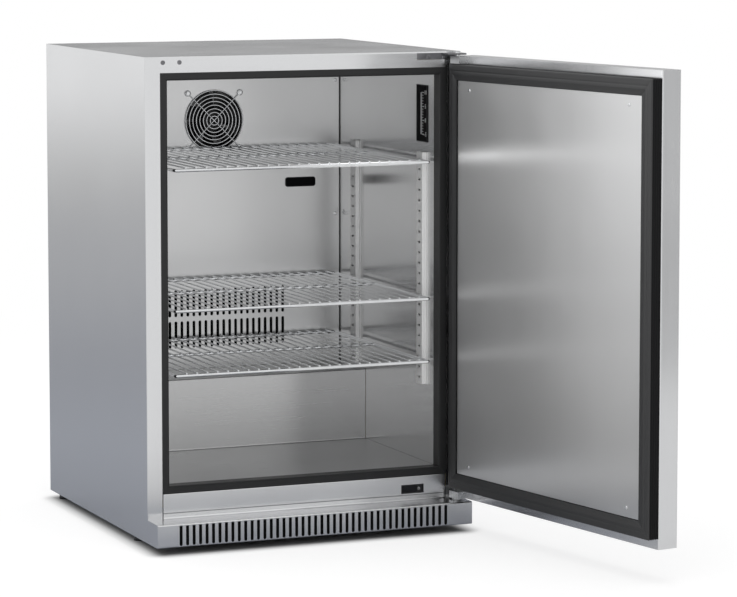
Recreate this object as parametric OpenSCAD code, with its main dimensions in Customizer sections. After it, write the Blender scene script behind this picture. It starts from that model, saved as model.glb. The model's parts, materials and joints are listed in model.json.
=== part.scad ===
// Undercounter refrigerator with one right-hung door, three wire shelves and a machine
// compartment behind a slotted plinth. The origin is on the floor, under the middle of the
// case. The door is drawn shut and then turned about its hinge pins to door_angle.

/* [Case] */
// Width of the case
body_w = 600; // [580:1:640]
// Depth of the case behind its front face
body_d = 571; // [560:1:600]
// Height of the case above its underside
body_h = 852; // [845:1:880]
// Thickness of the steel sheets
skin = 1; // [0.8:0.1:1.2]
// Outside radius of the sheet bends
bend_r = 2.4; // [1.6:0.1:3]
// Insulated wall with both of its skins
wall = 41.5; // [40:0.5:46]
// Width of the steel border round the front
front_return = 28; // [26:0.5:30]
// Height of the storage floor above the underside of the case
floor_h = 98.5; // [96:0.5:104]
// Clearance left round the foam
foam_gap = 0.5; // [0.4:0.1:1]

/* [Storage space] */
// Distance from the rear of the case to the step in the floor
step_depth = 226; // [216:1:236]
// Height of the step above the underside of the case
step_h = 232; // [228:1:240]
// Distance from the rear of the case to the evaporator cover
evap_bay = 97.5; // [97:0.5:103]
// Gap between the evaporator cover and the walls beside it
cover_gap = 0.6; // [0.4:0.1:2]
// Gap at the seams between the sheets of the steel liner
liner_gap = 0.5; // [0.3:0.1:1]
// Depth of the black breaker strips
breaker_depth = 26; // [20:1:30]
// Thickness of the breaker strips
breaker_t = 2.5; // [2:0.1:3]

/* [Air slots] */
// Length of each slot in the evaporator cover
vent_len = 51.5; // [40:0.5:56]
// Width of the slots
vent_w = 5.6; // [4:0.1:6.5]
// Distance from slot to slot
vent_pitch = 12.1; // [11.5:0.1:13]
// Slots in each row
vent_count = 24; // [16:1:30]
// Height of the lower row's middle above the underside of the case
vent_low_h = 298.4; // [292:0.2:304]
// Height from row to row
vent_rise = 60; // [58:1:66]

/* [Sill and plinth] */
// Height of the sill panel's lower edge above the underside of the case
sill_low = 50.5; // [48:0.5:54]
// Gap between the sill panel and the border beside it
sill_gap = 1.6; // [0.5:0.1:3]
// Room behind the sill panel
sill_room = 14; // [13:0.5:18]
// Height of the plinth grille
plinth_h = 41; // [36:0.5:42]
// How far the plinth grille stands forward
plinth_depth = 54.3; // [50:0.5:60]
// Height of the flange that rises behind the plinth's top
plinth_flange = 9; // [6:0.5:9]
// Distance from slot to slot in the plinth
plinth_pitch = 12.02; // [11:0.01:12.1]
// Distance from the plinth's left end to its first slot, and the least at its right end
plinth_margin = 43; // [30:1:50]
// Length of the plinth slots
plinth_slot = 36.5; // [28:0.5:37]

/* [Control] */
// Width of the control
control_w = 44; // [40:1:50]
// Height of the control
control_h = 16; // [14:0.5:16]
// Distance of its middle from the right side of the case
control_inset = 94; // [85:1:150]
// Height of its middle above the underside of the case
control_mid = 61.5; // [61:0.5:63]
// Travel of the key
key_travel = 1; // [0.5:0.1:1.5]

/* [Door] */
// Angle at which the door stands open
door_angle = 100.1; // [0:0.1:101]
// Gap between the door's top and the top of the case
door_top_gap = 7.8; // [7.4:0.1:10]
// Gap between the plinth and the door
door_low_gap = 2.6; // [2:0.1:4]
// Depth of the steel door pan
pan_depth = 39.6; // [36:0.2:45]
// How far the pan's flange reaches under the steel door liner
tray_lap = 5.5; // [4:0.5:10]
// Distance of the hinge axis from the right side
hinge_inset = 13; // [11:0.5:13]
// Distance of the hinge axis from the flange of the door pan
hinge_set = 5.5; // [5:0.1:5.6]
// Radius of the hinge pins
pin_r = 4; // [3:0.5:5]
// Radial clearance of a turning or sliding fit
running_gap = 0.05; // [0.02:0.01:0.1]
// How far each pin reaches into the door
pin_reach = 12; // [8:0.5:12]

/* [Gasket] */
// Thickness of the gasket
gasket_t = 21.4; // [20:0.2:24]
// Width of the gasket
gasket_w = 29; // [26:0.5:31]
// Gap between the gasket and the case when the door is shut
seal_gap = 0.3; // [0.2:0.1:1]
// Distance of the gasket from the door's sides
gasket_side = 1; // [0.5:0.1:2]
// Distance of the gasket from the door's top
gasket_top = 13.8; // [8:0.2:18]
// Distance of the gasket from the door's lower edge
gasket_low = 18; // [12:0.5:24]
// How far the steel door liner stays below the gasket's face
liner_drop = 4; // [2:0.5:8]

/* [Shelves] */
// Gap between a shelf and the pilasters beside it
shelf_side_gap = 5; // [1:0.5:15]
// Distance from the front face to the shelf's front wire
shelf_setback = 6; // [4:1:30]
// Gap between a shelf and the evaporator cover
shelf_rear_gap = 11.5; // [6:0.5:50]
// Diameter of the shelf's frame wire
frame_wire = 6; // [5:0.5:8]
// Diameter of the wires that cross the shelf
cross_wire = 3; // [2.5:0.5:4]
// Number of wires that run from front to back
wire_count = 24; // [16:1:28]
// Radius of the shelf's corners
corner_r = 8; // [7:0.5:30]
// Pilaster slot that carries the top shelf, counted down from the highest, which is 0
top_slot_down = 0; // [0:1:5]
// Pilaster slot that carries the middle shelf
middle_slot = 8; // [6:1:12]
// Pilaster slot that carries the bottom shelf
bottom_slot = 2; // [0:1:4]

/* [Pilasters] */
// Width of a pilaster's raised face
pilaster_w = 25; // [20:1:30]
// How far it stands off the wall
pilaster_rise = 8.5; // [7.5:0.5:9]
// Width of its flanges
pilaster_flange = 7; // [4:0.5:10]
// Distance from slot to slot
pilaster_pitch = 19.05; // [18:0.05:19.5]
// Least height from the highest slot to the ceiling
pilaster_headroom = 152; // [146:1:154]
// Height of the lowest slot above the underside of the case
pilaster_low = 254.5; // [250:0.5:256]
// Distance from the front face to the front pilasters
pilaster_front = 72; // [60:1:90]
// Distance from the evaporator cover to the rear pilasters
pilaster_rear = 85; // [74:0.5:104]
// Width of a pilaster slot
clip_slot_w = 9.4; // [8:0.2:12]
// Height of a pilaster slot
clip_slot_h = 3.6; // [3.2:0.2:5]
// How far a clip carries its shelf below its slot
clip_drop = 6.3; // [0:0.1:8]

/* [Air fan] */
// Distance of the fan's axis below the ceiling
fan_drop = 105.3; // [100:0.1:120]
// Distance between the fan's mounting holes
fan_pitch = 105; // [104:0.5:106]
// Side of the fan's square frame
fan_size = 119; // [116:0.5:120]
// Depth of the fan
fan_depth = 38; // [30:1:40]
// Radius of the fan's throat
fan_throat = 56.5; // [54:0.5:57]
// Number of fan blades
fan_blades = 7; // [5:1:9]
// Radius of the guard's outer ring
guard_r = 57.5; // [56:0.5:60]
// Number of rings in the guard
guard_rings = 8; // [5:1:9]
// Distance from ring to ring
guard_pitch = 7; // [6:0.1:7]
// Diameter of the guard's wire
guard_wire = 2.2; // [1.6:0.1:2.4]

/* [Feet] */
// Height of the case above the floor with the feet screwed right in
foot_h = 14; // [10:1:25]
// Radius of a foot's pad
foot_r = 12; // [10:0.5:14]
// Radius of a foot's stud
stud_r = 5; // [4:0.5:6]
// Distance of the feet from the sides of the case
foot_inset = 22; // [18:1:30]
// Distance of the front feet from the front face
foot_front = 103; // [80:1:120]
// Distance of the rear feet from the rear
foot_rear = 26; // [20:1:30]

/* [Refrigeration] */
// Fins in the evaporator
evap_fins = 30; // [20:1:34]
// Radius of the coil tubes
coil_r = 4.8; // [4:0.1:5]
// Radius of the compressor's shell
comp_r = 66; // [60:1:70]
// Height of the compressor's shell
comp_h = 148; // [130:1:152]
// Fins in the condenser
cond_fins = 22; // [16:1:26]
// Radius of the condenser blade
blade_r = 66; // [60:1:70]

/* [Hidden] */
$fn = 48;

// Planes of the case
half_w = body_w / 2;
front_y = -body_d / 2;
rear_y = body_d / 2;
low_z = foot_h;
top_z = foot_h + body_h;
inner_w = half_w - skin;
border_w = half_w - front_return;

// Storage space
room_w = half_w - wall;
room_z = low_z + floor_h;
room_top = top_z - wall;
room_back = rear_y - wall;
liner_front = front_y + breaker_depth;
step_y = rear_y - step_depth;
step_z = low_z + step_h;
cover_y = rear_y - evap_bay;
cover_screw_z = [room_top - 291.5, room_top - 33.5];
cover_screw_in = 10;
side_screw_at = [cover_y - 17, room_top - 286];
rear_plate = [62, 18.5];
rear_plate_at = [room_w - 82.5, room_top - 227.7];
side_plate = [48, 104];
side_plate_at = [front_y + 77.5, room_top - 74];
breaker_w = wall - front_return;
breaker_face = 2;

// Machine compartment
duct_z = room_z - wall;
machine_y = step_y + wall;
machine_top = step_z - wall;
machine_floor = low_z + skin;
rear_screw_z = [machine_floor + 8, machine_top - 8];
pocket_y = front_y + sill_room;
sill_top = room_z - breaker_w;
plinth_count = floor((body_w - 2 * plinth_margin) / plinth_pitch) + 1;

// Door, drawn shut
door_low = low_z + plinth_h + door_low_gap;
door_top = top_z - door_top_gap;
gasket_y = front_y - seal_gap;
flange_y = gasket_y - gasket_t;
outer_y = flange_y - pan_depth;
hinge_at = [half_w - hinge_inset, flange_y + hinge_set];
roll = front_y - hinge_at.y - 0.25;
seal_w = half_w - gasket_side;
seal_low = door_low + gasket_low;
seal_top = door_top - gasket_top;
door_liner_w = seal_w - gasket_w - foam_gap;
door_liner_low = seal_low + gasket_w + foam_gap;
door_liner_top = seal_top - gasket_w - foam_gap;
door_liner_y = gasket_y - liner_drop;
opening_w = door_liner_w - tray_lap;
opening_low = door_liner_low + tray_lap;
opening_top = door_liner_top - tray_lap;
door_screw_in = 36;
door_screw_down = 16;
pull_size = [34, 15, 130];
pull_mid = [-half_w + 48, (door_low + door_top) / 2 + 180];
pull_wall = 2;

// Control
control_x = half_w - control_inset;
key_size = [9, 10];
key_at = [control_x + control_w / 2 - 9, low_z + control_mid];
key_gap = 0.3;

// Hinges
hinge_leaf_x = half_w - 86.4;
hinge_leaf_t = 3;
hinge_plate_x = half_w - 38;
hinge_plate_z = top_z - bend_r - hinge_leaf_t;
hinge_leaf_low = top_z - 14.2;
hinge_reach = 33;
hinge_end = half_w - 3;
hinge_screw_x = [half_w - 64, half_w - 33.5];
hinge_screw_z = top_z - 10;
screw_head_r = 4;
screw_head_t = 1.6;
bracket_low = 8;
block_reach = 22;
block_side = 6;
block_front = 13;
block_wall = 1;
washer_t = door_low_gap - 0.1;
washer_r = 9;

// Pilasters and shelves
pilaster_at = [front_y + pilaster_front, cover_y - pilaster_rear];
pilaster_end = 12;
pilaster_face = room_w - pilaster_rise;
shelf_rest_gap = 0.3;
clip_t = 2;
clip_len = 20;
clip_hook = 6;
clip_play = 0.2;
support_back = 27;
slot_z = low_z + pilaster_low;
pilaster_slots = floor((room_top - pilaster_headroom - slot_z) / pilaster_pitch) + 1;
top_slot = pilaster_slots - 1 - top_slot_down;
shelf_slots = [bottom_slot, middle_slot, top_slot];
shelf_w = 2 * (pilaster_face - shelf_side_gap);
shelf_d = cover_y - front_y - shelf_setback - shelf_rear_gap;

// Fan
fan_z = room_top - fan_drop;
fan_y = cover_y + skin;
shaft_r = 3;
hub_r = 21;
fan_flange_t = 4;
weld_sink = 0.5;
elbow_swell = 1.08;
eye_r = 4.6;
plate_t = 1.2;
eye_swell = 0.15;
guard_stand = 0.3;
guard_head_y = cover_y - guard_stand - guard_wire - eye_swell - 0.1;

// Feet
foot_x = half_w - foot_inset;
foot_y = [front_y + foot_front, rear_y - foot_rear];
foot_bush_h = 12;
stud_len = 35;

// Evaporator and drain
evap_side = 58.5;
evap_w = 2 * (room_w - evap_side);
evap_depth = 40;
evap_h = 168;
evap_below_fan = 70.7;
evap_z = fan_z - fan_size / 2 - evap_below_fan - evap_h;
evap_y = cover_y + 9;
fin_t = 0.6;
coil_rows = 6;
coil_column = [0.3, 0.7];
evap_run = evap_w + 16;
drain_at = [evap_w / 2 - 15, cover_y + 30];
drain_r = 8;
lines_at = [21.5 - room_w, cover_y + 29];
lines_r = 13.5;
trough_h = 14;

// Machine compartment layout
tray_t = 2;
tray_z = machine_floor + 4;
tray_top = tray_z + tray_t;
machine_mid_y = (machine_y + rear_y) / 2;
comp_x = 129 - inner_w;
comp_foot = [140, 110];
comp_holes = [for (x = [-1, 1], y = [-1, 1])
    [comp_x + x * comp_foot.x / 2, machine_mid_y + y * comp_foot.y / 2]];
grommet_h = 10;
comp_z = tray_top + grommet_h;
cond_x = 45;
cond_size = [44, 130, 140];
cond_z = tray_top + 3;
cond_run = cond_size.y + 8;
shroud_t = 1.2;
blade_x = cond_x - 24;
blade_z = cond_z + cond_size.z / 2;
motor_r = 24;
pan_low = tray_top + 1;
pan_box = [120, 120, 48];
pan_at = [drain_at.x - 52, machine_mid_y - 42];

// ---- Helpers -----------------------------------------------------------------------------

function unit(v) = v / norm(v);
function left_of(v) = [-v.y, v.x];
function turned(v, a) = [v.x * cos(a) - v.y * sin(a), v.x * sin(a) + v.y * cos(a)];

// Points and left-hand normals along a path whose corners are rounded to radius r
function rounded_path(p, r, steps = 5) = concat(
    [[p[0], left_of(unit(p[1] - p[0]))]],
    [for (i = [1 : len(p) - 2])
        let (d = unit(p[i] - p[i - 1]), e = unit(p[i + 1] - p[i]),
             a = atan2(d.x * e.y - d.y * e.x, d * e), s = sign(a),
             middle = p[i] - d * r * tan(abs(a) / 2) + left_of(d) * r * s)
        for (k = [0 : steps])
            let (n = turned(left_of(d), a * k / steps)) [middle - n * r * s, n]],
    [[p[len(p) - 1], left_of(unit(p[len(p) - 1] - p[len(p) - 2]))]]
);

// Section of a sheet of thickness t, bent along a path, with its metal on the path's left
module sheet_section(path, t = skin, r = bend_r) {
    line = rounded_path(path, r);
    polygon(concat([for (q = line) q[0]],
                   [for (i = [len(line) - 1 : -1 : 0]) line[i][0] + line[i][1] * t]));
}

// Extrudes a section drawn in y and z along x, centred on the case
module across(width) {
    translate([-width / 2, 0, 0]) rotate([90, 0, 90]) linear_extrude(width) children();
}

// Box from its lowest to its highest corner
module box(low, high) {
    translate(low) cube(high - low);
}

// Rectangle with round corners, centred
module rounded_bar(w, h, r) {
    square([w - 2 * r, h], center = true);
    square([w, h - 2 * r], center = true);
    for (x = [-1, 1], y = [-1, 1])
        translate([x * (w / 2 - r), y * (h / 2 - r)]) circle(r);
}

// Round bar from one point to another
module rod(a, b, r) {
    d = b - a;
    translate(a) rotate([0, acos(d.z / norm(d)), atan2(d.y, d.x)]) cylinder(h = norm(d), r = r);
}

// Pipe along a list of points, with brazed elbows at its corners
module pipe(points, r) {
    for (i = [1 : len(points) - 1]) rod(points[i - 1], points[i], r);
    for (i = [1 : len(points) - 2]) translate(points[i]) sphere(r * elbow_swell);
}

// Wire ring about the z axis
module ring(radius, r, angle = 360) {
    rotate_extrude(angle = angle) translate([radius, 0]) circle(r);
}

// Upright round-ended slot cut through a sheet that faces the front
module slot(x, y, z, w, len, through) {
    translate([x - w / 2, y, z - len / 2 + w / 2]) cube([w, through, len - w]);
    for (s = [-1, 1])
        translate([x, y, z + s * (len - w) / 2]) rotate([-90, 0, 0])
            cylinder(h = through, d = w, $fn = 24);
}

// Pan-head screw whose head stands on the plane of its origin and faces along -y
module screw_head(r = screw_head_r, t = screw_head_t) {
    rotate([90, 0, 0]) difference() {
        union() {
            cylinder(h = t * 0.6, r = r);
            translate([0, 0, t * 0.6]) cylinder(h = t * 0.4, r1 = r, r2 = r * 0.7);
        }
        for (a = [0, 90])
            rotate(a) translate([-r * 0.45, -r * 0.09, t * 0.5]) cube([r * 0.9, r * 0.18, t]);
    }
}

// Mitred frame in the x-y plane: the section (u inwards, v upwards) runs round a rectangle
module mitred_frame(w, h, depth, rise, gap = 0) {
    for (k = [0 : 3]) {
        len = k % 2 == 0 ? w : h;
        reach = k % 2 == 0 ? h / 2 : w / 2;
        rotate(90 * k) translate([0, -reach, 0]) intersection() {
            across(len) children();
            translate([0, 0, -1]) linear_extrude(rise + 2) polygon([
                [-len / 2 + gap, 0], [len / 2 - gap, 0],
                [len / 2 - gap - depth, depth], [-len / 2 + gap + depth, depth]
            ]);
        }
    }
}

// Stands a frame drawn in x and y upright at plane y, its rise pointing to the rear
module upright(y, low, high) {
    translate([0, y, (low + high) / 2]) rotate([-90, 0, 0]) children();
}

// Turns a piece of the door from shut to where it stands open
module on_door() {
    translate(hinge_at) rotate(door_angle) translate(-hinge_at) children();
}

// Copies a piece to the other side of the case
module both_sides() {
    children();
    mirror([1, 0, 0]) children();
}

// ---- Case --------------------------------------------------------------------------------

module side_shell() {
    translate([0, 0, low_z]) linear_extrude(body_h)
        sheet_section([[-half_w, rear_y], [-half_w, front_y], [-border_w, front_y]]);
}

// Window in the front border that the top hinge shows through
module hinge_window() {
    box([hinge_leaf_x, front_y - 1, hinge_leaf_low],
        [hinge_end - 8, front_y + skin + 0.01, hinge_plate_z + hinge_leaf_t]);
}

module side_panel_left() {
    color("silver") side_shell();
}

module side_panel_right() {
    color("silver") difference() {
        mirror([1, 0, 0]) side_shell();
        hinge_window();
    }
}

module top_panel() {
    color("silver") difference() {
        union() {
            across(2 * border_w)
                sheet_section([[rear_y, top_z], [front_y, top_z],
                               [front_y, top_z - front_return]]);
            both_sides()
                box([border_w, front_y + skin, top_z - skin], [inner_w, rear_y, top_z]);
        }
        hinge_window();
    }
}

module rear_panel() {
    color("lightgray")
        box([-inner_w, rear_y - skin, machine_top], [inner_w, rear_y, top_z - skin]);
}

module base_panel() {
    color("lightgray") difference() {
        box([-inner_w, front_y + skin, low_z], [inner_w, rear_y - skin, machine_floor]);
        for (x = [-foot_x, foot_x], y = foot_y)
            translate([x, y, low_z - 1]) cylinder(h = skin + 2, r = stud_r + running_gap);
    }
}

// One sheet over the air duct, up the front of the machine compartment and over its top
module underbody_panel() {
    color("lightgray") difference() {
        across(2 * inner_w)
            sheet_section([[pocket_y, duct_z], [machine_y, duct_z],
                           [machine_y, machine_top], [rear_y - skin, machine_top]]);
        service_holes();
    }
}

// Holes through the insulation for the drain spout and for the refrigerant lines
module service_holes() {
    for (hole = [[drain_at, drain_r + 0.3], [lines_at, lines_r]])
        translate([hole[0].x, hole[0].y, machine_top - 20])
            cylinder(h = step_z - machine_top + 40, r = hole[1]);
}

module foam_insulation() {
    g = foam_gap;
    foam_front = front_y + bend_r + 0.1;
    low = duct_z + skin + g;
    machine_back = machine_y - skin - g;
    color("khaki") difference() {
        across(2 * (inner_w - g)) polygon([
            [pocket_y + g, low], [machine_back, low],
            [machine_back, machine_top + skin + g],
            [rear_y - skin - g, machine_top + skin + g],
            [rear_y - skin - g, top_z - skin - g], [foam_front, top_z - skin - g],
            [foam_front, sill_top + g], [pocket_y + g, sill_top + g]
        ]);
        across(2 * (room_w + skin + g)) polygon([
            [front_y - 1, room_z - skin - g], [step_y + skin + g, room_z - skin - g],
            [step_y + skin + g, step_z - skin - g], [room_back + skin + g, step_z - skin - g],
            [room_back + skin + g, room_top + skin + g], [front_y - 1, room_top + skin + g]
        ]);
        box([-room_w - breaker_t - g, front_y - 1, room_z - breaker_t - g],
            [room_w + breaker_t + g, liner_front + g, room_top + breaker_t + g]);
        box([hinge_leaf_x - 1, front_y - 1, hinge_leaf_low - 1],
            [half_w, front_y + skin + hinge_leaf_t + 1, top_z]);
        service_holes();
    }
}

// ---- Storage space -----------------------------------------------------------------------

module liner_side() {
    translate([-room_w - skin, 0, 0]) rotate([90, 0, 90]) linear_extrude(skin) polygon([
        [liner_front, room_z - skin], [step_y + skin, room_z - skin],
        [step_y + skin, step_z - skin], [room_back + skin, step_z - skin],
        [room_back + skin, room_top + skin], [liner_front, room_top + skin]
    ]);
}

module liner_left() {
    color("gainsboro") liner_side();
}

module liner_right() {
    color("gainsboro") mirror([1, 0, 0]) liner_side();
}

module liner_ceiling_back() {
    color("gainsboro") across(2 * (room_w - liner_gap))
        sheet_section([[liner_front, room_top], [room_back, room_top], [room_back, step_z]]);
}

module liner_floor() {
    color("gainsboro") difference() {
        across(2 * (room_w - liner_gap))
            sheet_section([[room_back, step_z], [step_y, step_z], [step_y, room_z],
                           [liner_front, room_z]]);
        service_holes();
    }
}

// Black strips that part the outer steel from the inner steel, with a shadow groove inside
module breaker_strips() {
    groove = 1;
    color("dimgray") upright(front_y, room_z - breaker_w, room_top + breaker_w)
        mitred_frame(2 * border_w, room_top - room_z + 2 * breaker_w, breaker_w,
                     breaker_depth, 0.1)
            polygon([
                [0.1, 0], [breaker_w - 2 * groove - 0.5, 0],
                [breaker_w - 2 * groove, groove], [breaker_w - groove, groove],
                [breaker_w, 2 * groove], [breaker_w, breaker_depth],
                [breaker_w - breaker_t, breaker_depth], [breaker_w - breaker_t, breaker_face],
                [0.1, breaker_face]
            ]);
}

module evaporator_cover() {
    side = room_w - cover_gap;
    low = step_z + 0.5;
    first = -(vent_count - 1) * vent_pitch / 2;
    color("gainsboro") difference() {
        translate([0, 0, low]) linear_extrude(room_top - low - 0.5)
            sheet_section([[-side, cover_y + 20], [-side, cover_y], [side, cover_y],
                           [side, cover_y + 20]]);
        translate([0, cover_y - 1, fan_z]) rotate([-90, 0, 0])
            cylinder(h = skin + 2, r = fan_throat);
        for (row = [0, 1], i = [0 : vent_count - 1])
            slot(first + i * vent_pitch, cover_y - 1, low_z + vent_low_h + row * vent_rise,
                 vent_w, vent_len, skin + 2);
    }
}

// Bare plate on the evaporator cover and narrow bare plate on the right wall
module interior_plates() {
    color("black") {
        translate([rear_plate_at.x, cover_y, rear_plate_at.y]) rotate([90, 0, 0])
            linear_extrude(plate_t) rounded_bar(rear_plate.x, rear_plate.y, 5);
        translate([room_w, side_plate_at.x, side_plate_at.y]) rotate([90, 0, -90])
            linear_extrude(plate_t) rounded_bar(side_plate.x, side_plate.y, 1.5);
    }
}

// ---- Sill, control and plinth ------------------------------------------------------------

module control_box(y0, y1, trim = 0) {
    mid_z = low_z + control_mid;
    box([control_x - control_w / 2 + trim, y0, mid_z - control_h / 2 + trim],
        [control_x + control_w / 2 - trim, y1, mid_z + control_h / 2 - trim]);
}

module sill_panel() {
    low = low_z + sill_low;
    color("silver") difference() {
        across(2 * (border_w - sill_gap))
            sheet_section([[front_y + 8, sill_top], [front_y, sill_top], [front_y, low],
                           [front_y + 12, low]], r = 1.3);
        control_box(front_y - 1, front_y + skin + 1, -0.1);
    }
}

module control_bezel() {
    rim = 1.4;
    color("black") difference() {
        control_box(front_y, front_y + 11);
        control_box(front_y - 1, front_y + 2.5, rim);
        key_well();
    }
}

module key_well() {
    half = key_size / 2 + [key_gap, key_gap];
    box([key_at.x - half.x, front_y - 1, key_at.y - half.y],
        [key_at.x + half.x, front_y + 6, key_at.y + half.y]);
}

module control_display() {
    left = control_x - control_w / 2 + 2.4;
    color("dimgray")
        box([left, front_y + 1.5, key_at.y - 5], [left + 27, front_y + 2.5, key_at.y + 5]);
}

module control_key() {
    color("gray") difference() {
        box([key_at.x - key_size.x / 2, front_y + 0.8, key_at.y - key_size.y / 2],
            [key_at.x + key_size.x / 2, front_y + 6 - key_travel - 0.2,
             key_at.y + key_size.y / 2]);
        translate([key_at.x, front_y - 27.6, key_at.y]) sphere(28.8, $fn = 64);
    }
}

// Slotted box in front of the machine compartment, with closed ends
module plinth_grille() {
    plinth_y = front_y - plinth_depth;
    plinth_z = low_z + plinth_h;
    outline = [[front_y, plinth_z + plinth_flange], [front_y, plinth_z],
               [plinth_y, plinth_z], [plinth_y, low_z], [plinth_y + 15, low_z]];
    ends = [[front_y, plinth_z], [plinth_y, plinth_z], [plinth_y, low_z], [front_y, low_z]];
    color("silver") difference() {
        union() {
            across(body_w) sheet_section(outline);
            both_sides() translate([inner_w, 0, 0]) rotate([90, 0, 90])
                linear_extrude(skin)
                    polygon([for (q = rounded_path(ends, bend_r)) q[0]]);
        }
        both_sides() {
            box([border_w - sill_gap, front_y - 0.001, low_z - 1],
                [half_w + 1, front_y + 20, plinth_z + plinth_flange + 1]);
            box([border_w - sill_gap, front_y - bend_r - 1, plinth_z],
                [half_w + 1, front_y + 20, plinth_z + plinth_flange + 1]);
        }
        for (i = [0 : plinth_count - 1])
            slot(-half_w + plinth_margin + i * plinth_pitch, plinth_y - 1,
                 low_z + plinth_h / 2, vent_w, plinth_slot, skin + 2);
        translate([hinge_at.x, hinge_at.y, plinth_z - 5])
            cylinder(h = 10, r = pin_r + 1);
    }
}

// ---- Hinges and screws -------------------------------------------------------------------

module hinge_top_bracket() {
    leaf_y = front_y + skin;
    leaf_end = leaf_y + hinge_leaf_t;
    plate_top = hinge_plate_z + hinge_leaf_t;
    tip_y = hinge_at.y - hinge_inset;
    side_x = half_w - 1;
    chamfer = 3;
    color("dimgray") difference() {
        union() {
            box([hinge_leaf_x + 0.5, leaf_y, hinge_leaf_low + 0.5],
                [inner_w - 1, leaf_end, plate_top]);
            box([hinge_plate_x, hinge_at.y, hinge_plate_z], [hinge_end - 8.5, leaf_y, plate_top]);
            translate([0, 0, hinge_plate_z]) linear_extrude(hinge_leaf_t) polygon([
                [hinge_plate_x, tip_y], [side_x - chamfer, tip_y], [side_x, tip_y + chamfer],
                [side_x, front_y - 0.5], [hinge_plate_x, front_y - 0.5]
            ]);
        }
        pin_bores();
    }
}

module pin_bores() {
    for (z = [hinge_plate_z - 1, low_z + plinth_h - skin - 5])
        translate([hinge_at.x, hinge_at.y, z])
            cylinder(h = hinge_leaf_t + 3, r = pin_r + running_gap);
}

// Angle inside the plinth that carries the lower pin
module hinge_bottom_bracket() {
    top = low_z + plinth_h - skin;
    color("dimgray") difference() {
        union() {
            box([hinge_plate_x - 20, front_y - hinge_leaf_t, low_z + bracket_low],
                [inner_w - 1, front_y, top]);
            box([hinge_plate_x - 20, front_y - hinge_reach, top - hinge_leaf_t],
                [inner_w - 1, front_y - hinge_leaf_t, top]);
        }
        pin_bores();
    }
}

module hinge_pins() {
    color("whitesmoke") translate([hinge_at.x, hinge_at.y, 0]) {
        translate([0, 0, door_top - pin_reach])
            cylinder(h = hinge_plate_z + hinge_leaf_t - door_top + pin_reach, r = pin_r);
        translate([0, 0, hinge_plate_z + hinge_leaf_t]) cylinder(h = 1.5, r = pin_r + 2);
        bottom = low_z + plinth_h - skin - hinge_leaf_t;
        translate([0, 0, bottom]) cylinder(h = door_low + pin_reach - bottom, r = pin_r);
        translate([0, 0, bottom - 1.5]) cylinder(h = 1.5, r = pin_r + 2);
    }
}

// Hinge screws, and the blind screws at the same places for a left-hung door
module case_screws() {
    color("whitesmoke") {
        for (x = hinge_screw_x)
            translate([x, front_y + skin, hinge_screw_z]) screw_head();
        for (x = hinge_screw_x)
            translate([-x, front_y, hinge_screw_z]) screw_head(t = 0.8);
        for (x = [hinge_plate_x - 12, hinge_plate_x + 8])
            translate([x, front_y - hinge_leaf_t, low_z + bracket_low + 10]) screw_head();
    }
}

module panel_screws() {
    small = 3.4;
    color("whitesmoke") {
        for (x = [-1, 1], z = cover_screw_z)
            translate([x * (room_w - cover_screw_in), cover_y, z]) screw_head(small);
        for (s = [-1, 1])
            translate([s * room_w, side_screw_at.x, side_screw_at.y]) rotate(-90 * s)
                screw_head(small);
        for (x = [-1, 1], z = [-1, 1])
            translate([x * fan_pitch / 2, guard_head_y, fan_z + z * fan_pitch / 2]) {
                screw_head(small + 1);
                rotate([-90, 0, 0]) cylinder(h = cover_y - guard_head_y - 0.1, r = 2);
            }
        for (x = [-1, 0, 1], z = rear_screw_z)
            translate([x * (inner_w - 12), rear_y, z]) rotate(180) screw_head(small);
    }
}

// ---- Pilasters, clips and shelves --------------------------------------------------------

module pilaster() {
    half = pilaster_w / 2;
    low = slot_z - pilaster_end;
    difference() {
        translate([0, 0, low])
            linear_extrude((pilaster_slots - 1) * pilaster_pitch + 2 * pilaster_end)
                sheet_section([[0, -half - pilaster_flange], [0, -half],
                               [pilaster_rise - skin, -half], [pilaster_rise - skin, half],
                               [0, half], [0, half + pilaster_flange]],
                              t = -skin, r = 1.3);
        for (i = [0 : pilaster_slots - 1])
            translate([pilaster_rise / 2, -clip_slot_w / 2,
                       slot_z + i * pilaster_pitch - clip_slot_h / 2])
                cube([pilaster_rise, clip_slot_w, clip_slot_h]);
    }
}

module pilasters() {
    color("whitesmoke") both_sides() for (y = pilaster_at)
        translate([-room_w, y, 0]) pilaster();
}

// Height of the middle of a shelf's frame wire when its clips sit in the given slot
function shelf_z(s) = slot_z + s * pilaster_pitch + clip_slot_h / 2 - 0.5 - clip_drop
    + shelf_rest_gap + frame_wire / 2;

// Tongue through a pilaster slot, hooked behind the face, that steps down in front of the
// face to the arm the shelf rests on
module shelf_clip() {
    back = -pilaster_face - skin - clip_play;
    front = -pilaster_face + clip_play;
    w = clip_slot_w - 0.8;
    top = clip_slot_h / 2 - 0.5;
    rest = top - clip_drop;
    box([back - clip_t, -w / 2, top - clip_t], [front + clip_t, w / 2, top]);
    box([back - clip_t, -w / 2, top - clip_hook], [back, w / 2, top]);
    box([front, -w / 2, rest - clip_t], [front + clip_t, w / 2, top]);
    box([front, -w / 2, rest - clip_t], [front + clip_len, w / 2, rest]);
}

module shelf_clips() {
    color("whitesmoke") both_sides() for (y = pilaster_at, s = shelf_slots)
        translate([0, y, slot_z + s * pilaster_pitch]) shelf_clip();
}

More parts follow.
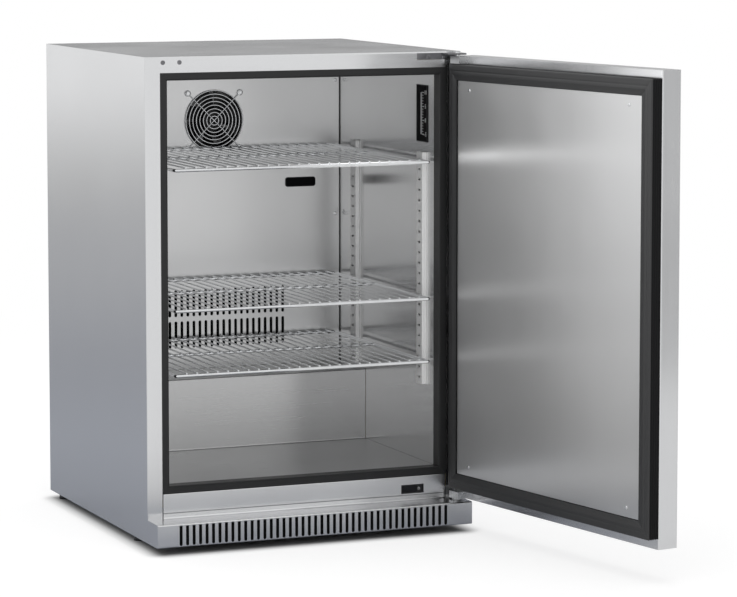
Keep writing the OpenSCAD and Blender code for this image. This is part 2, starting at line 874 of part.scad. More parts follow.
module wire_shelf(s) {
    r = frame_wire / 2;
    x = shelf_w / 2 - r;
    y0 = front_y + shelf_setback + r;
    y1 = y0 + shelf_d - frame_wire;
    wire_z = r + cross_wire / 2 - 0.6;
    pitch = 2 * x / (wire_count + 1);
    c = corner_r - r;
    middle = (y0 + y1) / 2 + support_back;
    translate([0, 0, shelf_z(s)]) union() {
        for (y = [y0, y1]) rod([-x + c, y, 0], [x - c, y, 0], r);
        for (side = [-x, x]) rod([side, y0 + c, 0], [side, y1 - c, 0], r);
        translate([x - c, y1 - c, 0]) ring(c, r, 90);
        translate([-x + c, y1 - c, 0]) rotate(90) ring(c, r, 90);
        translate([-x + c, y0 + c, 0]) rotate(180) ring(c, r, 90);
        translate([x - c, y0 + c, 0]) rotate(270) ring(c, r, 90);
        for (i = [1 : wire_count])
            rod([-x + i * pitch, y0 - 1, wire_z], [-x + i * pitch, y1 + 1, wire_z],
                cross_wire / 2);
        rod([-x, middle, 0], [x, middle, 0], r - 0.4);
    }
}

module shelf_top() {
    color("gainsboro") wire_shelf(top_slot);
}

module shelf_middle() {
    color("gainsboro") wire_shelf(middle_slot);
}

module shelf_bottom() {
    color("gainsboro") wire_shelf(bottom_slot);
}

// ---- Air fan -----------------------------------------------------------------------------

// Rings welded on two crossing wires that end in eyes at the fan's screw pitch
module fan_guard() {
    r = guard_wire / 2;
    eye = fan_pitch / sqrt(2);
    color("silver") translate([0, cover_y - guard_stand, fan_z]) rotate([90, 0, 0]) {
        for (i = [0 : guard_rings - 1])
            translate([0, 0, 3 * r - weld_sink]) ring(guard_r - i * guard_pitch, r);
        for (a = [45, 135]) rotate(a) rod([-eye + eye_r, 0, r], [eye - eye_r, 0, r], r);
        for (a = [45 : 90 : 315]) rotate(a) translate([eye, 0, r]) ring(eye_r, r + eye_swell);
    }
}

module fan_axis() {
    translate([0, fan_y, fan_z]) rotate([-90, 0, 0]) children();
}

// Two square flanges on a round throat, with three struts that carry the motor's shaft
module fan_frame() {
    color("dimgray") fan_axis() difference() {
        union() {
            difference() {
                union() {
                    for (z = [0, fan_depth - fan_flange_t])
                        translate([0, 0, z]) linear_extrude(fan_flange_t)
                            rounded_bar(fan_size, fan_size, 6);
                    cylinder(h = fan_depth, r = fan_throat + 2);
                }
                translate([0, 0, -1]) cylinder(h = fan_depth + 2, r = fan_throat);
            }
            for (a = [30 : 120 : 270]) rotate(a)
                translate([hub_r, -3, fan_depth - 4.5]) cube([fan_throat + 1 - hub_r, 6, 4]);
            translate([0, 0, fan_depth - 5]) cylinder(h = 5, r = hub_r + 3);
            translate([0, 0, 8]) cylinder(h = fan_depth - 9, r = shaft_r);
        }
        for (x = [-1, 1], y = [-1, 1])
            translate([x * fan_pitch / 2, y * fan_pitch / 2, -1])
                cylinder(h = fan_depth + 2, r = 2.2);
    }
}

// Hub with curved blades, hollow behind, turning on the frame's shaft
module fan_rotor() {
    depth = fan_depth - 12;
    color([0.1, 0.1, 0.1]) fan_axis() translate([0, 0, 5]) difference() {
        union() {
            cylinder(h = depth, r = hub_r);
            for (i = [0 : fan_blades - 1]) rotate(i * 360 / fan_blades)
                translate([0, 0, 1]) blade(hub_r - 1, fan_throat - 2, depth - 2, 38);
        }
        translate([0, 0, 6]) difference() {
            cylinder(h = depth, r = hub_r - 2);
            cylinder(h = depth, r = shaft_r + 3);
        }
        translate([0, 0, 3]) cylinder(h = depth, r = shaft_r + running_gap);
    }
}

// Swept blade from radius a to radius b, twisted over its height
module blade(a, b, h, twist) {
    linear_extrude(height = h, twist = twist, slices = 4)
        polygon([[a, 0], [(a + b) / 2, (b - a) * 0.1], [b, (b - a) * 0.06],
                 [b, (b - a) * 0.06 + 1.8], [(a + b) / 2, (b - a) * 0.1 + 2], [a, 2.2]]);
}

// ---- Evaporator --------------------------------------------------------------------------

// Straight runs of a coil in two columns, the bends that join their ends, and the bend that
// joins the columns at the lowest run
module coil_runs(w, r, rows, step, depth, bends = true) {
    for (row = [0 : rows - 1], col = [0, 1])
        rod([-w / 2, depth * coil_column[col], step * (row + 0.5)],
            [w / 2, depth * coil_column[col], step * (row + 0.5)], r);
    if (bends) {
        for (col = [0, 1], row = [0 : rows - 2])
            translate([(row % 2 == 0 ? 1 : -1) * w / 2, depth * coil_column[col],
                       step * (row + 1)])
                rotate([90, row % 2 == 0 ? 90 : -90, 0]) ring(step / 2, r, 180);
        translate([-w / 2, depth / 2, step / 2]) rotate(90)
            ring(depth * (coil_column[1] - coil_column[0]) / 2, r, 180);
    }
}

module evaporator_fins() {
    step = evap_h / coil_rows;
    fin_pitch = evap_w / (evap_fins - 1);
    color("lightsteelblue") translate([0, evap_y, evap_z]) difference() {
        for (i = [0 : evap_fins - 1])
            translate([-evap_w / 2 + i * fin_pitch - fin_t / 2, 0, 0])
                cube([fin_t, evap_depth, evap_h]);
        coil_runs(evap_w + 20, coil_r + 0.1, coil_rows, step, evap_depth, false);
    }
}

module evaporator_tubes() {
    color("peru") translate([0, evap_y, evap_z])
        coil_runs(evap_run, coil_r, coil_rows, evap_h / coil_rows, evap_depth);
}

// Trough on the step behind the cover, with a spout down through the insulation
module drip_trough() {
    low = step_z + 0.2;
    back = room_back - 3;
    spout = machine_top - 35;
    color("whitesmoke") difference() {
        union() {
            box([-evap_w / 2, cover_y + 4, low], [evap_w / 2, back, low + trough_h]);
            translate([drain_at.x, drain_at.y, spout]) cylinder(h = low - spout + 1, r = drain_r);
        }
        box([-evap_w / 2 + 2, cover_y + 6, low + 2],
            [evap_w / 2 - 2, back - 2, low + trough_h + 1]);
        translate([drain_at.x, drain_at.y, spout - 1])
            cylinder(h = low - spout + 10, r = drain_r - 2);
    }
}

// ---- Machine compartment -----------------------------------------------------------------

module machine_tray() {
    half = inner_w - 44;
    color("lightgray") across(2 * half)
        sheet_section([[machine_y + 6, tray_top + 6], [machine_y + 6, tray_z],
                       [rear_y - 8, tray_z], [rear_y - 8, tray_top + 6]],
                      t = tray_t, r = 3);
    color("lightgray") for (x = [-half, half - 10])
        box([x, machine_y + 12, machine_floor], [x + 10, rear_y - 14, tray_z]);
}

// Two drawn half shells welded at a flange, on a foot plate
module compressor() {
    weld = comp_h * 0.52;
    dome = 22;
    color([0.12, 0.12, 0.13]) {
        translate([comp_x, machine_mid_y, comp_z + 3]) rotate_extrude($fn = 64) polygon(concat(
            [[0, 0], [comp_r - dome, 0]],
            [for (a = [-90 : 15 : 0])
                [comp_r - dome + dome * cos(a), dome + dome * sin(a)]],
            [[comp_r, weld - 3], [comp_r + 3, weld - 2], [comp_r + 3, weld + 2],
             [comp_r - 1, weld + 3]],
            [for (a = [0 : 15 : 90])
                [comp_r - 1 - dome + dome * cos(a), comp_h - dome + dome * sin(a)]],
            [[0, comp_h]]
        ));
        difference() {
            translate([comp_x, machine_mid_y, comp_z]) linear_extrude(3)
                rounded_bar(comp_foot.x + 26, comp_foot.y + 26, 10);
            for (p = comp_holes)
                translate([p.x, p.y, comp_z - 1]) cylinder(h = 5, r = 6.2);
        }
    }
}

module compressor_grommets() {
    color("black") for (p = comp_holes) translate([p.x, p.y, tray_top]) difference() {
        union() {
            cylinder(h = grommet_h, r = 10);
            cylinder(h = grommet_h + 5, r = 6);
            translate([0, 0, grommet_h + 3.1]) cylinder(h = 4, r = 9);
        }
        translate([0, 0, -1]) cylinder(h = grommet_h + 12, r = 3.2);
    }
}

module terminal_cover() {
    at = [comp_x + comp_r - 3, machine_mid_y, comp_z + 45];
    color("darkslategray") difference() {
        translate(at) rotate([90, 0, 90]) linear_extrude(38) rounded_bar(56, 60, 6);
        translate([comp_x, machine_mid_y, comp_z]) cylinder(h = comp_h, r = comp_r + 3.2);
    }
}

module condenser_fins() {
    step = cond_size.z / coil_rows;
    fin_pitch = cond_size.y / (cond_fins - 1);
    color("silver") difference() {
        for (i = [0 : cond_fins - 1])
            translate([cond_x, machine_mid_y - cond_size.y / 2 + i * fin_pitch - fin_t / 2,
                       cond_z])
                cube([cond_size.x, fin_t, cond_size.z]);
        cond_coil(cond_size.y + 20, coil_r + 0.1, step, false);
    }
}

module cond_coil(len, r, step, bends) {
    translate([cond_x + cond_size.x, machine_mid_y, cond_z]) rotate(90)
        coil_runs(len, r, coil_rows, step, cond_size.x, bends);
}

module condenser_tubes() {
    color("peru") cond_coil(cond_run, coil_r, cond_size.z / coil_rows, true);
}

// Plate with a drawn collar round the blade
module condenser_shroud() {
    x = cond_x - shroud_t - 0.5;
    y = cond_size.y / 2 + 2;
    color("silver") difference() {
        union() {
            box([x, machine_mid_y - y, cond_z], [x + shroud_t, machine_mid_y + y,
                 cond_z + cond_size.z]);
            translate([x - 14, machine_mid_y, blade_z]) rotate([0, 90, 0])
                cylinder(h = 14.5, r = blade_r + 3);
        }
        translate([x - 20, machine_mid_y, blade_z]) rotate([0, 90, 0])
            cylinder(h = 30, r = blade_r + 3 - shroud_t);
    }
}

module motor_axis(x) {
    translate([x, machine_mid_y, blade_z]) rotate([0, 90, 0]) children();
}

// Round motor on an arched strap that stands on the tray
module condenser_motor() {
    x = blade_x - 52;
    body = 36;
    shaft = 17.5;
    color("dimgray") {
        motor_axis(x) cylinder(h = body, r = motor_r);
        motor_axis(x + body) cylinder(h = shaft, r = shaft_r);
        box([x + 10, machine_mid_y - 5, tray_top], [x + 26, machine_mid_y + 5,
             blade_z - motor_r + 3]);
        box([x + 2, machine_mid_y - 24, tray_top], [x + 34, machine_mid_y + 24,
             tray_top + 3]);
    }
}

module condenser_blade() {
    color("whitesmoke") motor_axis(blade_x - 10) difference() {
        union() {
            cylinder(h = 16, r = 15);
            for (i = [0 : 4]) rotate(i * 72) blade(14, blade_r, 14, 24);
        }
        translate([0, 0, -1]) cylinder(h = 13, r = shaft_r + running_gap);
    }
}

// Point beside the compressor, at a bearing and a distance from its axis
function beside_comp(bearing, out, z) =
    [comp_x + out * cos(bearing), machine_mid_y + out * sin(bearing), z];

// Hot gas line to the condenser, liquid line with its drier, and the capillary and suction
// lines that pass through the insulation to the evaporator
module refrigerant_pipes() {
    r = 3.2;
    suction_r = 4;
    capillary_r = 1.4;
    drier_r = 8;
    wall_r = comp_r - 1;
    high = machine_top - 18;
    capillary_z = machine_top - 7;
    cond_end = machine_mid_y - cond_run / 2;
    front = cond_end - 12;
    cond_top = cond_z + cond_size.z * (1 - 0.5 / coil_rows);
    cond_in = cond_x + cond_size.x * coil_column[0];
    cond_out = cond_x + cond_size.x * coil_column[1];
    drier = [cond_x + cond_size.x + 22, front];
    evap_top = evap_z + evap_h * (1 - 0.5 / coil_rows);
    evap_end = -evap_run / 2;
    evap_in = evap_y + evap_depth * coil_column[0];
    evap_out = evap_y + evap_depth * coil_column[1];
    suction_at = [lines_at.x - 3, evap_out];
    capillary_at = [lines_at.x + 5, evap_in];
    gas = beside_comp(60, comp_r + 14, comp_z + 60);
    bearing = atan2(suction_at.y - machine_mid_y, suction_at.x - comp_x);
    color("peru") {
        pipe([beside_comp(60, comp_r, gas.z), gas, [gas.x, gas.y, high],
              [cond_in, gas.y, high], [cond_in, front, high], [cond_in, front, cond_top],
              [cond_in, cond_end, cond_top]], r);
        pipe([[cond_out, cond_end, cond_top], [cond_out, front, cond_top],
              [drier.x, drier.y, cond_top], [drier.x, drier.y, cond_top - 12]], r);
        translate([drier.x, drier.y, cond_top - 82]) cylinder(h = 70, r = drier_r);
        pipe([[drier.x, drier.y, cond_top - 82], [drier.x, drier.y, cond_top - 92],
              [drier.x, drier.y + 28, cond_top - 92], [drier.x, drier.y + 28, capillary_z],
              [capillary_at.x, drier.y + 28, capillary_z],
              [capillary_at.x, capillary_at.y, capillary_z],
              [capillary_at.x, capillary_at.y, evap_top], [evap_end, evap_in, evap_top]],
             capillary_r);
        pipe([beside_comp(bearing, wall_r, comp_z + 109),
              [suction_at.x, suction_at.y, comp_z + 109],
              [suction_at.x, suction_at.y, evap_top], [evap_end, evap_out, evap_top]],
             suction_r);
    }
}

module condensate_pan() {
    color("whitesmoke") translate([pan_at.x, pan_at.y, pan_low]) difference() {
        cube(pan_box);
        translate([2, 2, 2]) cube(pan_box - [4, 4, 0]);
    }
}

// Louvred sheet over the back of the machine compartment
module rear_cover() {
    low = machine_floor;
    rows = 8;
    pitch = (machine_top - low - 40) / rows;
    color("lightgray") difference() {
        union() {
            box([-inner_w, rear_y - skin, low], [inner_w, rear_y, machine_top]);
            for (x = [-150, 150], i = [0 : rows - 1])
                translate([x - 106, rear_y - skin, low + 24 + i * pitch]) louvre(212);
        }
        for (x = [-150, 150], i = [0 : rows - 1])
            box([x - 100, rear_y - skin - 1, low + 22 + i * pitch],
                [x + 100, rear_y + 2, low + 28 + i * pitch]);
        translate([inner_w - 30, rear_y - 5, low + 40]) rotate([-90, 0, 0])
            cylinder(h = 10, r = 8.2);
    }
}

// Hooded lip that sheds water away from the slot under it
module louvre(w) {
    rotate([90, 0, 90]) linear_extrude(w)
        polygon([[0, 12], [skin + 0.01, 12], [5, 4.5], [5, 3.5], [4, 3.5], [skin, 8], [0, 9]]);
}

module cable_gland() {
    color("black") translate([inner_w - 30, rear_y - skin, machine_floor + 40])
        rotate([-90, 0, 0]) difference() {
            union() {
                translate([0, 0, -6]) cylinder(h = 5.8, r = 11);
                translate([0, 0, -1]) cylinder(h = 4, r = 8);
                translate([0, 0, skin]) cylinder(h = 4, r = 11);
                translate([0, 0, skin + 4]) cylinder(h = 10, r1 = 9, r2 = 6.5);
            }
            translate([0, 0, -7]) cylinder(h = 25, r = 4);
        }
}

// ---- Feet --------------------------------------------------------------------------------

module foot_bushes() {
    color("silver") for (x = [-foot_x, foot_x], y = foot_y)
        translate([x, y, machine_floor]) difference() {
            cylinder(h = foot_bush_h, r = stud_r + 4, $fn = 6);
            translate([0, 0, -1]) cylinder(h = foot_bush_h + 2, r = stud_r + running_gap);
        }
}

module foot(x, y) {
    color([0.1, 0.1, 0.1]) translate([x, y, 0]) {
        cylinder(h = 3, r = foot_r);
        translate([0, 0, 3]) cylinder(h = foot_h - 3.3, r1 = foot_r, r2 = foot_r - 2);
        cylinder(h = foot_h + stud_len, r = stud_r);
    }
}

module foot_front_left() { foot(-foot_x, foot_y[0]); }
module foot_front_right() { foot(foot_x, foot_y[0]); }
module foot_rear_left() { foot(-foot_x, foot_y[1]); }
module foot_rear_right() { foot(foot_x, foot_y[1]); }

// ---- Door --------------------------------------------------------------------------------

module pull_pocket(trim, depth) {
    translate([pull_mid.x, outer_y - 0.001, pull_mid.y]) rotate([-90, 0, 0])
        linear_extrude(depth) rounded_bar(pull_size.x + 2 * trim, pull_size.z + 2 * trim, 6);
}

module door_outer() {
    outline = [[-opening_w, flange_y], [-half_w, flange_y], [-half_w, outer_y],
               [half_w, outer_y], [half_w, flange_y], [opening_w, flange_y]];
    cap = [for (q = rounded_path(outline, bend_r)) q[0]];
    color("silver") on_door() difference() {
        union() {
            translate([0, 0, door_low]) linear_extrude(door_top - door_low)
                sheet_section(outline);
            for (z = [door_low, door_top - skin])
                translate([0, 0, z]) linear_extrude(skin) polygon(cap);
            for (z = [[door_low, opening_low], [opening_top, door_top]])
                box([-opening_w, flange_y - skin, z[0]], [opening_w, flange_y, z[1]]);
        }
        pull_pocket(0.1, skin + 1);
    }
}

// Fills the pan, rises through its opening and fills the tray behind it
module door_foam() {
    g = foam_gap;
    inset = skin + g;
    color("khaki") on_door() difference() {
        union() {
            box([-half_w + inset, outer_y + inset, door_low + inset],
                [half_w - inset, flange_y - inset, door_top - inset]);
            box([-opening_w + g, flange_y - inset - 1, opening_low + g],
                [opening_w - g, flange_y + inset, opening_top - g]);
            box([-door_liner_w + inset, flange_y + g, door_liner_low + inset],
                [door_liner_w - inset, door_liner_y - inset, door_liner_top - inset]);
        }
        pull_pocket(foam_gap, pull_size.y + foam_gap);
    }
}

// Raised steel tray inside the gasket
module door_liner() {
    w = door_liner_w;
    color("gainsboro") on_door() difference() {
        box([-w, flange_y, door_liner_low], [w, door_liner_y, door_liner_top]);
        box([-w + skin, flange_y - 1, door_liner_low + skin],
            [w - skin, door_liner_y - skin, door_liner_top - skin]);
    }
}

// Ribbed magnetic gasket. On the hinge side its outer edge is cut to a circle about the hinge
// axis, so that it rolls clear of the case as the door opens
module door_gasket() {
    t = gasket_t;
    rib = 1.2;
    nose_r = 2;
    ribs = [for (v = [4, 8.5, 13]) each [[0, v], [rib, v + 0.4], [rib, v + 1.2], [0, v + 1.6]]];
    nose = [for (a = [180 : -30 : 90]) [nose_r + nose_r * cos(a), t - nose_r + nose_r * sin(a)]];
    color([0.15, 0.15, 0.15]) on_door() difference() {
        upright(flange_y, seal_low, seal_top)
            mitred_frame(2 * seal_w, seal_top - seal_low, gasket_w, t)
                polygon(concat([[0, 0]], ribs, nose,
                               [[gasket_w * 0.62, t], [gasket_w * 0.66, t - 0.8],
                                [gasket_w - 0.6, t - 0.8], [gasket_w, t - 1.6],
                                [gasket_w, 0]]));
        difference() {
            box([hinge_at.x, hinge_at.y, seal_low - 1], [half_w + 1, front_y, seal_top + 1]);
            translate([hinge_at.x, hinge_at.y, seal_low - 2])
                cylinder(h = seal_top - seal_low + 4, r = roll);
        }
    }
}

// Bored blocks on the pan's flange, above and below the gasket; a washer under the lower
// one carries the door
module door_bushes() {
    height = pin_reach + block_wall;
    color("whitesmoke") on_door() translate([hinge_at.x, hinge_at.y, 0]) difference() {
        union() {
            translate([0, 0, door_low - washer_t]) cylinder(h = washer_t, r = washer_r);
            for (z = [door_low, door_top - height]) translate([0, 0, z]) {
                box([-block_reach, -hinge_set, 0], [block_side, block_front, height]);
            }
        }
        translate([0, 0, door_low - 5])
            cylinder(h = door_top - door_low + 10, r = pin_r + running_gap);
    }
}

// Cup for the fingers, let into the outer face
module door_pull() {
    color([0.12, 0.12, 0.12]) on_door() difference() {
        pull_pocket(0, pull_size.y);
        pull_pocket(-pull_wall, pull_size.y - pull_wall);
    }
}

module door_screws() {
    heights = [door_liner_low + door_screw_down, door_liner_top - door_screw_down];
    color("whitesmoke") on_door() for (x = [-1, 1], z = heights)
        translate([x * (door_liner_w - door_screw_in), door_liner_y, z])
            rotate(180) screw_head(3.2, 1.2);
}

side_panel_left();
side_panel_right();
top_panel();
rear_panel();
base_panel();
underbody_panel();
foam_insulation();
liner_left();
liner_right();
liner_ceiling_back();
liner_floor();
breaker_strips();
sill_panel();
plinth_grille();
evaporator_cover();
fan_guard();
fan_frame();
fan_rotor();
evaporator_fins();
evaporator_tubes();
drip_trough();
machine_tray();
compressor();
compressor_grommets();
terminal_cover();
condenser_fins();
condenser_tubes();
condenser_shroud();
condenser_motor();
condenser_blade();
refrigerant_pipes();
condensate_pan();
rear_cover();
cable_gland();
foot_bushes();
foot_front_left();
foot_front_right();
foot_rear_left();
foot_rear_right();
pilasters();
shelf_clips();
shelf_top();
shelf_middle();
shelf_bottom();
door_outer();
door_foam();
door_liner();
door_gasket();
door_bushes();
door_pull();
door_screws();
hinge_top_bracket();
hinge_bottom_bracket();
hinge_pins();
case_screws();
panel_screws();
control_bezel();
control_display();
control_key();
interior_plates();
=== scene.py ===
"""Dresses a packed undercounter refrigerator: finishes for its nodes, the pieces that are
worked out as surfaces, and a plain studio."""

import json
import math

import bpy
import numpy as np
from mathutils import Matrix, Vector


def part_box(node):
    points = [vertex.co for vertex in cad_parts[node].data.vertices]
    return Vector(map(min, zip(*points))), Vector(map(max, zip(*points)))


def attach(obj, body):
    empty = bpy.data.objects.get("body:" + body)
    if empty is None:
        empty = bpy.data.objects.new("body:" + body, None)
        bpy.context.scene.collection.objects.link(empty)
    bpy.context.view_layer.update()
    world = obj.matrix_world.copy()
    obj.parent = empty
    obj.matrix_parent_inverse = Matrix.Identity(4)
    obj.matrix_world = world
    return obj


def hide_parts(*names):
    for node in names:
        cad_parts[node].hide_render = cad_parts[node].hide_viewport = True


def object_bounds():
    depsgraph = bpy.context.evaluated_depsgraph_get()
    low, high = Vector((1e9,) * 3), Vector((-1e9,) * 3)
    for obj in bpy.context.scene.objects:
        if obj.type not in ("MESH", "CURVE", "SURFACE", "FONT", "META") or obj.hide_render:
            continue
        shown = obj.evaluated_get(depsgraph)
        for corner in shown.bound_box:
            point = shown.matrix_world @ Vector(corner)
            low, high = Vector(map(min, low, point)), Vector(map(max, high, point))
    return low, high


bl_info = {
    "name": "Undercounter Refrigerator",
    "version": (1, 0, 0),
    "blender": (4, 5, 0),
    "location": "3D View > Sidebar > Refrigerator",
    "description": "Finishes an undercounter refrigerator and sets it in a plain studio",
    "category": "Object",
}

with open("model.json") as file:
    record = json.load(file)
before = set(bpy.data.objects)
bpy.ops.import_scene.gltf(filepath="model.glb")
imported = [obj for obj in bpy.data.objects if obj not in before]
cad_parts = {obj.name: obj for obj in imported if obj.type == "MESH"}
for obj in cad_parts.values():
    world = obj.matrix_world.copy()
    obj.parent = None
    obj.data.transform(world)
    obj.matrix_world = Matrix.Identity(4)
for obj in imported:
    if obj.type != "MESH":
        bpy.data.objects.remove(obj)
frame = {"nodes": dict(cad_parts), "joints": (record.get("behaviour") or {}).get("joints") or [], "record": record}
CAD_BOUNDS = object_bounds()
MM = 0.001
SHARP_ANGLE = math.radians(35)
NODES = frame["nodes"]
SLOT_OF = {part["node"]: part["material_slot"] for part in frame["record"]["subparts"]}
HINGE = next(joint for joint in frame["joints"] if joint["name"] == "door_hinge")
HINGE_AT = np.array(HINGE["pos_m"])
OPEN_TURN = -math.radians(HINGE["range_deg"][0])


# ---- Settings ----


def setting(name, description, default, low, high, **kind):
    """Number that a user may change, with its unit or subtype."""
    make = bpy.props.IntProperty if isinstance(default, int) else bpy.props.FloatProperty
    return make(name=name, description=description, default=default, min=low, max=high,
                **kind)


def length(name, description, default, low, high):
    """Length that a user may change; the three sizes are in millimetres."""
    return setting(name, description, default * MM, low * MM, high * MM, precision=4,
                   unit="LENGTH")


def share(name, description, default, low=0.0, high=1.0):
    return setting(name, description, default, low, high, subtype="FACTOR")


def colour(name, description, default):
    return bpy.props.FloatVectorProperty(name=name, description=description,
                                         default=default, min=0, max=1, subtype="COLOR")


# ---- Surfaces ----


def corners_of(mesh):
    """All corners of a mesh, one row each, in metres."""
    flat = np.empty(len(mesh.vertices) * 3, np.float32)
    mesh.vertices.foreach_get("co", flat)
    return flat.reshape(-1, 3).astype(float)


def round_angles(count):
    return np.linspace(0, 2 * math.pi, count, endpoint=False)


def turn_about_hinge(points, angle):
    """Turns points about the door's upright hinge axis: x' = x cos - y sin and
    y' = x sin + y cos, both measured from the axis."""
    x, y = points[..., 0] - HINGE_AT[0], points[..., 1] - HINGE_AT[1]
    turned = points.copy()
    turned[..., 0] = HINGE_AT[0] + x * math.cos(angle) - y * math.sin(angle)
    turned[..., 1] = HINGE_AT[1] + x * math.sin(angle) + y * math.cos(angle)
    return turned


def grid_quads(rows, cols, wrap_rows, wrap_cols):
    """Corner numbers of the quads of a grid of rows by cols points, closed on itself where
    asked: quad (i, j) joins (i, j), (i, j+1), (i+1, j+1) and (i+1, j)."""
    i, j = np.meshgrid(
        np.arange(rows if wrap_rows else rows - 1),
        np.arange(cols if wrap_cols else cols - 1),
        indexing="ij",
    )
    a, b = (i + 1) % rows, (j + 1) % cols
    quads = np.stack([i * cols + j, i * cols + b, a * cols + b, a * cols + j], -1)
    return quads.reshape(-1, 4)


def tube(grid):
    """Closed tube from a grid of rings: quads between the rings and a lid at each end."""
    rings, around = grid.shape[:2]
    faces = grid_quads(rings, around, False, True).tolist()
    faces.append(list(range(around))[::-1])
    faces.append(list(range((rings - 1) * around, rings * around)))
    return grid.reshape(-1, 3), faces


def joined(parts):
    """One list of points and one of faces from several."""
    points, faces, start = [], [], 0
    for part_points, part_faces in parts:
        points.append(part_points)
        faces += [[start + k for k in face] for face in part_faces]
        start += len(part_points)
    return np.concatenate(points), faces


def solid_volume(points, faces):
    """Volume inside closed faces: the sum of corner . (next x last) / 6 over triangles."""
    total = 0.0
    for face in faces:
        a, b, c = points[face[0]], points[list(face[1:-1])], points[list(face[2:])]
        total += (np.cross(b, c) @ a).sum()
    return total / 6


def lathe(profile, axis_at, segments):
    """Surface of turning: (r, h) goes to (r cos t, h, r sin t) about an axis along y."""
    t = round_angles(segments)[None]
    r, h = profile[:, :1], profile[:, 1:]
    grid = np.stack([r * np.cos(t), h + 0 * t, r * np.sin(t)], -1)
    return tube(grid + np.asarray(axis_at))


def into_scene(name, data):
    obj = bpy.data.objects.new(name, data)
    bpy.context.scene.collection.objects.link(obj)
    return obj


def new_object(name, points, faces, material):
    mesh = bpy.data.meshes.new(name)
    mesh.from_pydata(points, [], faces)
    mesh.materials.append(material)
    return into_scene(name, mesh)


def make_piece(name, surface, finish, body, replaces=(), second=None):
    """Puts a surface into a new object at the origin, faces outwards, and lets it ride;
    second is another finish and the numbers of the faces that take it."""
    points, faces = surface
    if solid_volume(points, faces) < 0:
        faces = [list(face)[::-1] for face in faces]
    piece = new_object(name, points.tolist(), faces, finish_named(finish))
    mesh = piece.data
    mesh.validate()
    mesh.shade_smooth()
    mesh.set_sharp_from_angle(angle=SHARP_ANGLE)
    if second:
        mesh.materials.append(finish_named(second[0]))
        for k in second[1].tolist():
            mesh.polygons[k].material_index = 1
    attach(piece, body)
    if replaces:
        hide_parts(*replaces)


# ---- Shader building ----


def fill(tree, node, values):
    """Sets or links a node's inputs, by name or number."""
    for key, value in values.items():
        if isinstance(value, bpy.types.NodeSocket):
            tree.links.new(value, node.inputs[key])
        else:
            node.inputs[key].default_value = value
    return node


def add(tree, kind, values=None, **attributes):
    """Adds a shader node with its attributes and inputs."""
    node = tree.nodes.new("ShaderNode" + kind)
    for key, value in attributes.items():
        setattr(node, key, value)
    return fill(tree, node, values or {})


def calc(tree, operation, a, b=0.0, clamp=False):
    node = add(tree, "Math", {0: a, 1: b}, operation=operation, use_clamp=clamp)
    return node.outputs[0]


def weighed(tree, a, weight_a, b, weight_b):
    """Sum of a and b, each times its weight."""
    return calc(tree, "ADD", calc(tree, "MULTIPLY", a, weight_a),
                calc(tree, "MULTIPLY", b, weight_b))


def vector_calc(tree, operation, a, b=(0, 0, 0)):
    node = add(tree, "VectorMath", {0: a, 1: b}, operation=operation)
    return node.outputs["Value" if operation in ("LENGTH", "DOT_PRODUCT") else "Vector"]


def along_axis(tree, vector, letter):
    return add(tree, "SeparateXYZ", {0: vector}).outputs[letter]


def spread(tree, value, low, high, start=0.0, end=1.0, smooth=False):
    """Takes a value from start..end to low..high, in a straight line or along an S."""
    values = {"Value": value, "From Min": start, "From Max": end, "To Min": low,
              "To Max": high}
    kind = "SMOOTHSTEP" if smooth else "LINEAR"
    return add(tree, "MapRange", values, interpolation_type=kind).outputs["Result"]


def noise(tree, vector, scale, detail=2.0, roughness=0.5):
    values = {"Vector": vector, "Scale": scale, "Detail": detail, "Roughness": roughness}
    return add(tree, "TexNoise", values).outputs["Fac"]


def new_group(name, outputs, **inputs):
    """Empty shader node group with an input Vector and others, each with its default; every
    output is a number."""
    tree = bpy.data.node_groups.new(name, "ShaderNodeTree")
    for key, default in {"Vector": (0, 0, 0), **inputs}.items():
        kind = "NodeSocketVector" if isinstance(default, tuple) else "NodeSocketFloat"
        socket = tree.interface.new_socket(key, in_out="INPUT", socket_type=kind)
        socket.default_value = default
    for key in outputs:
        tree.interface.new_socket(key, in_out="OUTPUT", socket_type="NodeSocketFloat")
    return tree, tree.nodes.new("NodeGroupInput").outputs, tree.nodes.new("NodeGroupOutput")


def brushed_grain():
    """Grain of a satin belt: fine noise drawn out along the grain, plus broader streaks."""
    tree, given, out = new_group("BrushedGrain", ("Streak", "Height"), Stretch=(1, 1, 1))
    along = vector_calc(tree, "MULTIPLY", given["Vector"], given["Stretch"])
    fine = noise(tree, along, 1.0, 3.0, 0.65)
    broad = noise(tree, along, 0.13)
    fill(tree, out, {"Streak": weighed(tree, fine, 0.55, broad, 0.45), "Height": fine})
    return tree


def soft_patches():
    """Broad, slow unevenness, as handling and rolling leave on sheet: noise mapped to a mask."""
    tree, given, out = new_group("SoftPatches", ("Mask",), Size=5.0)
    large = noise(tree, given["Vector"], given["Size"], 3.0, 0.55)
    fill(tree, out, {"Mask": spread(tree, large, 0.0, 1.0, 0.3, 0.7)})
    return tree


def moulded_skin():
    """Spark-eroded skin of moulded plastic: small rounded cells over fine noise."""
    tree, given, out = new_group("MouldedSkin", ("Height", "Mask"), Size=900.0)
    place, size = given["Vector"], given["Size"]
    cells = add(tree, "TexVoronoi", {"Vector": place, "Scale": size}, feature="SMOOTH_F1")
    fine = noise(tree, place, calc(tree, "MULTIPLY", size, 2.3))
    height = calc(tree, "ADD", cells.outputs["Distance"], calc(tree, "MULTIPLY", fine, 0.5))
    wide = noise(tree, place, calc(tree, "MULTIPLY", size, 0.03), 3.0)
    fill(tree, out, {"Height": height, "Mask": wide})
    return tree


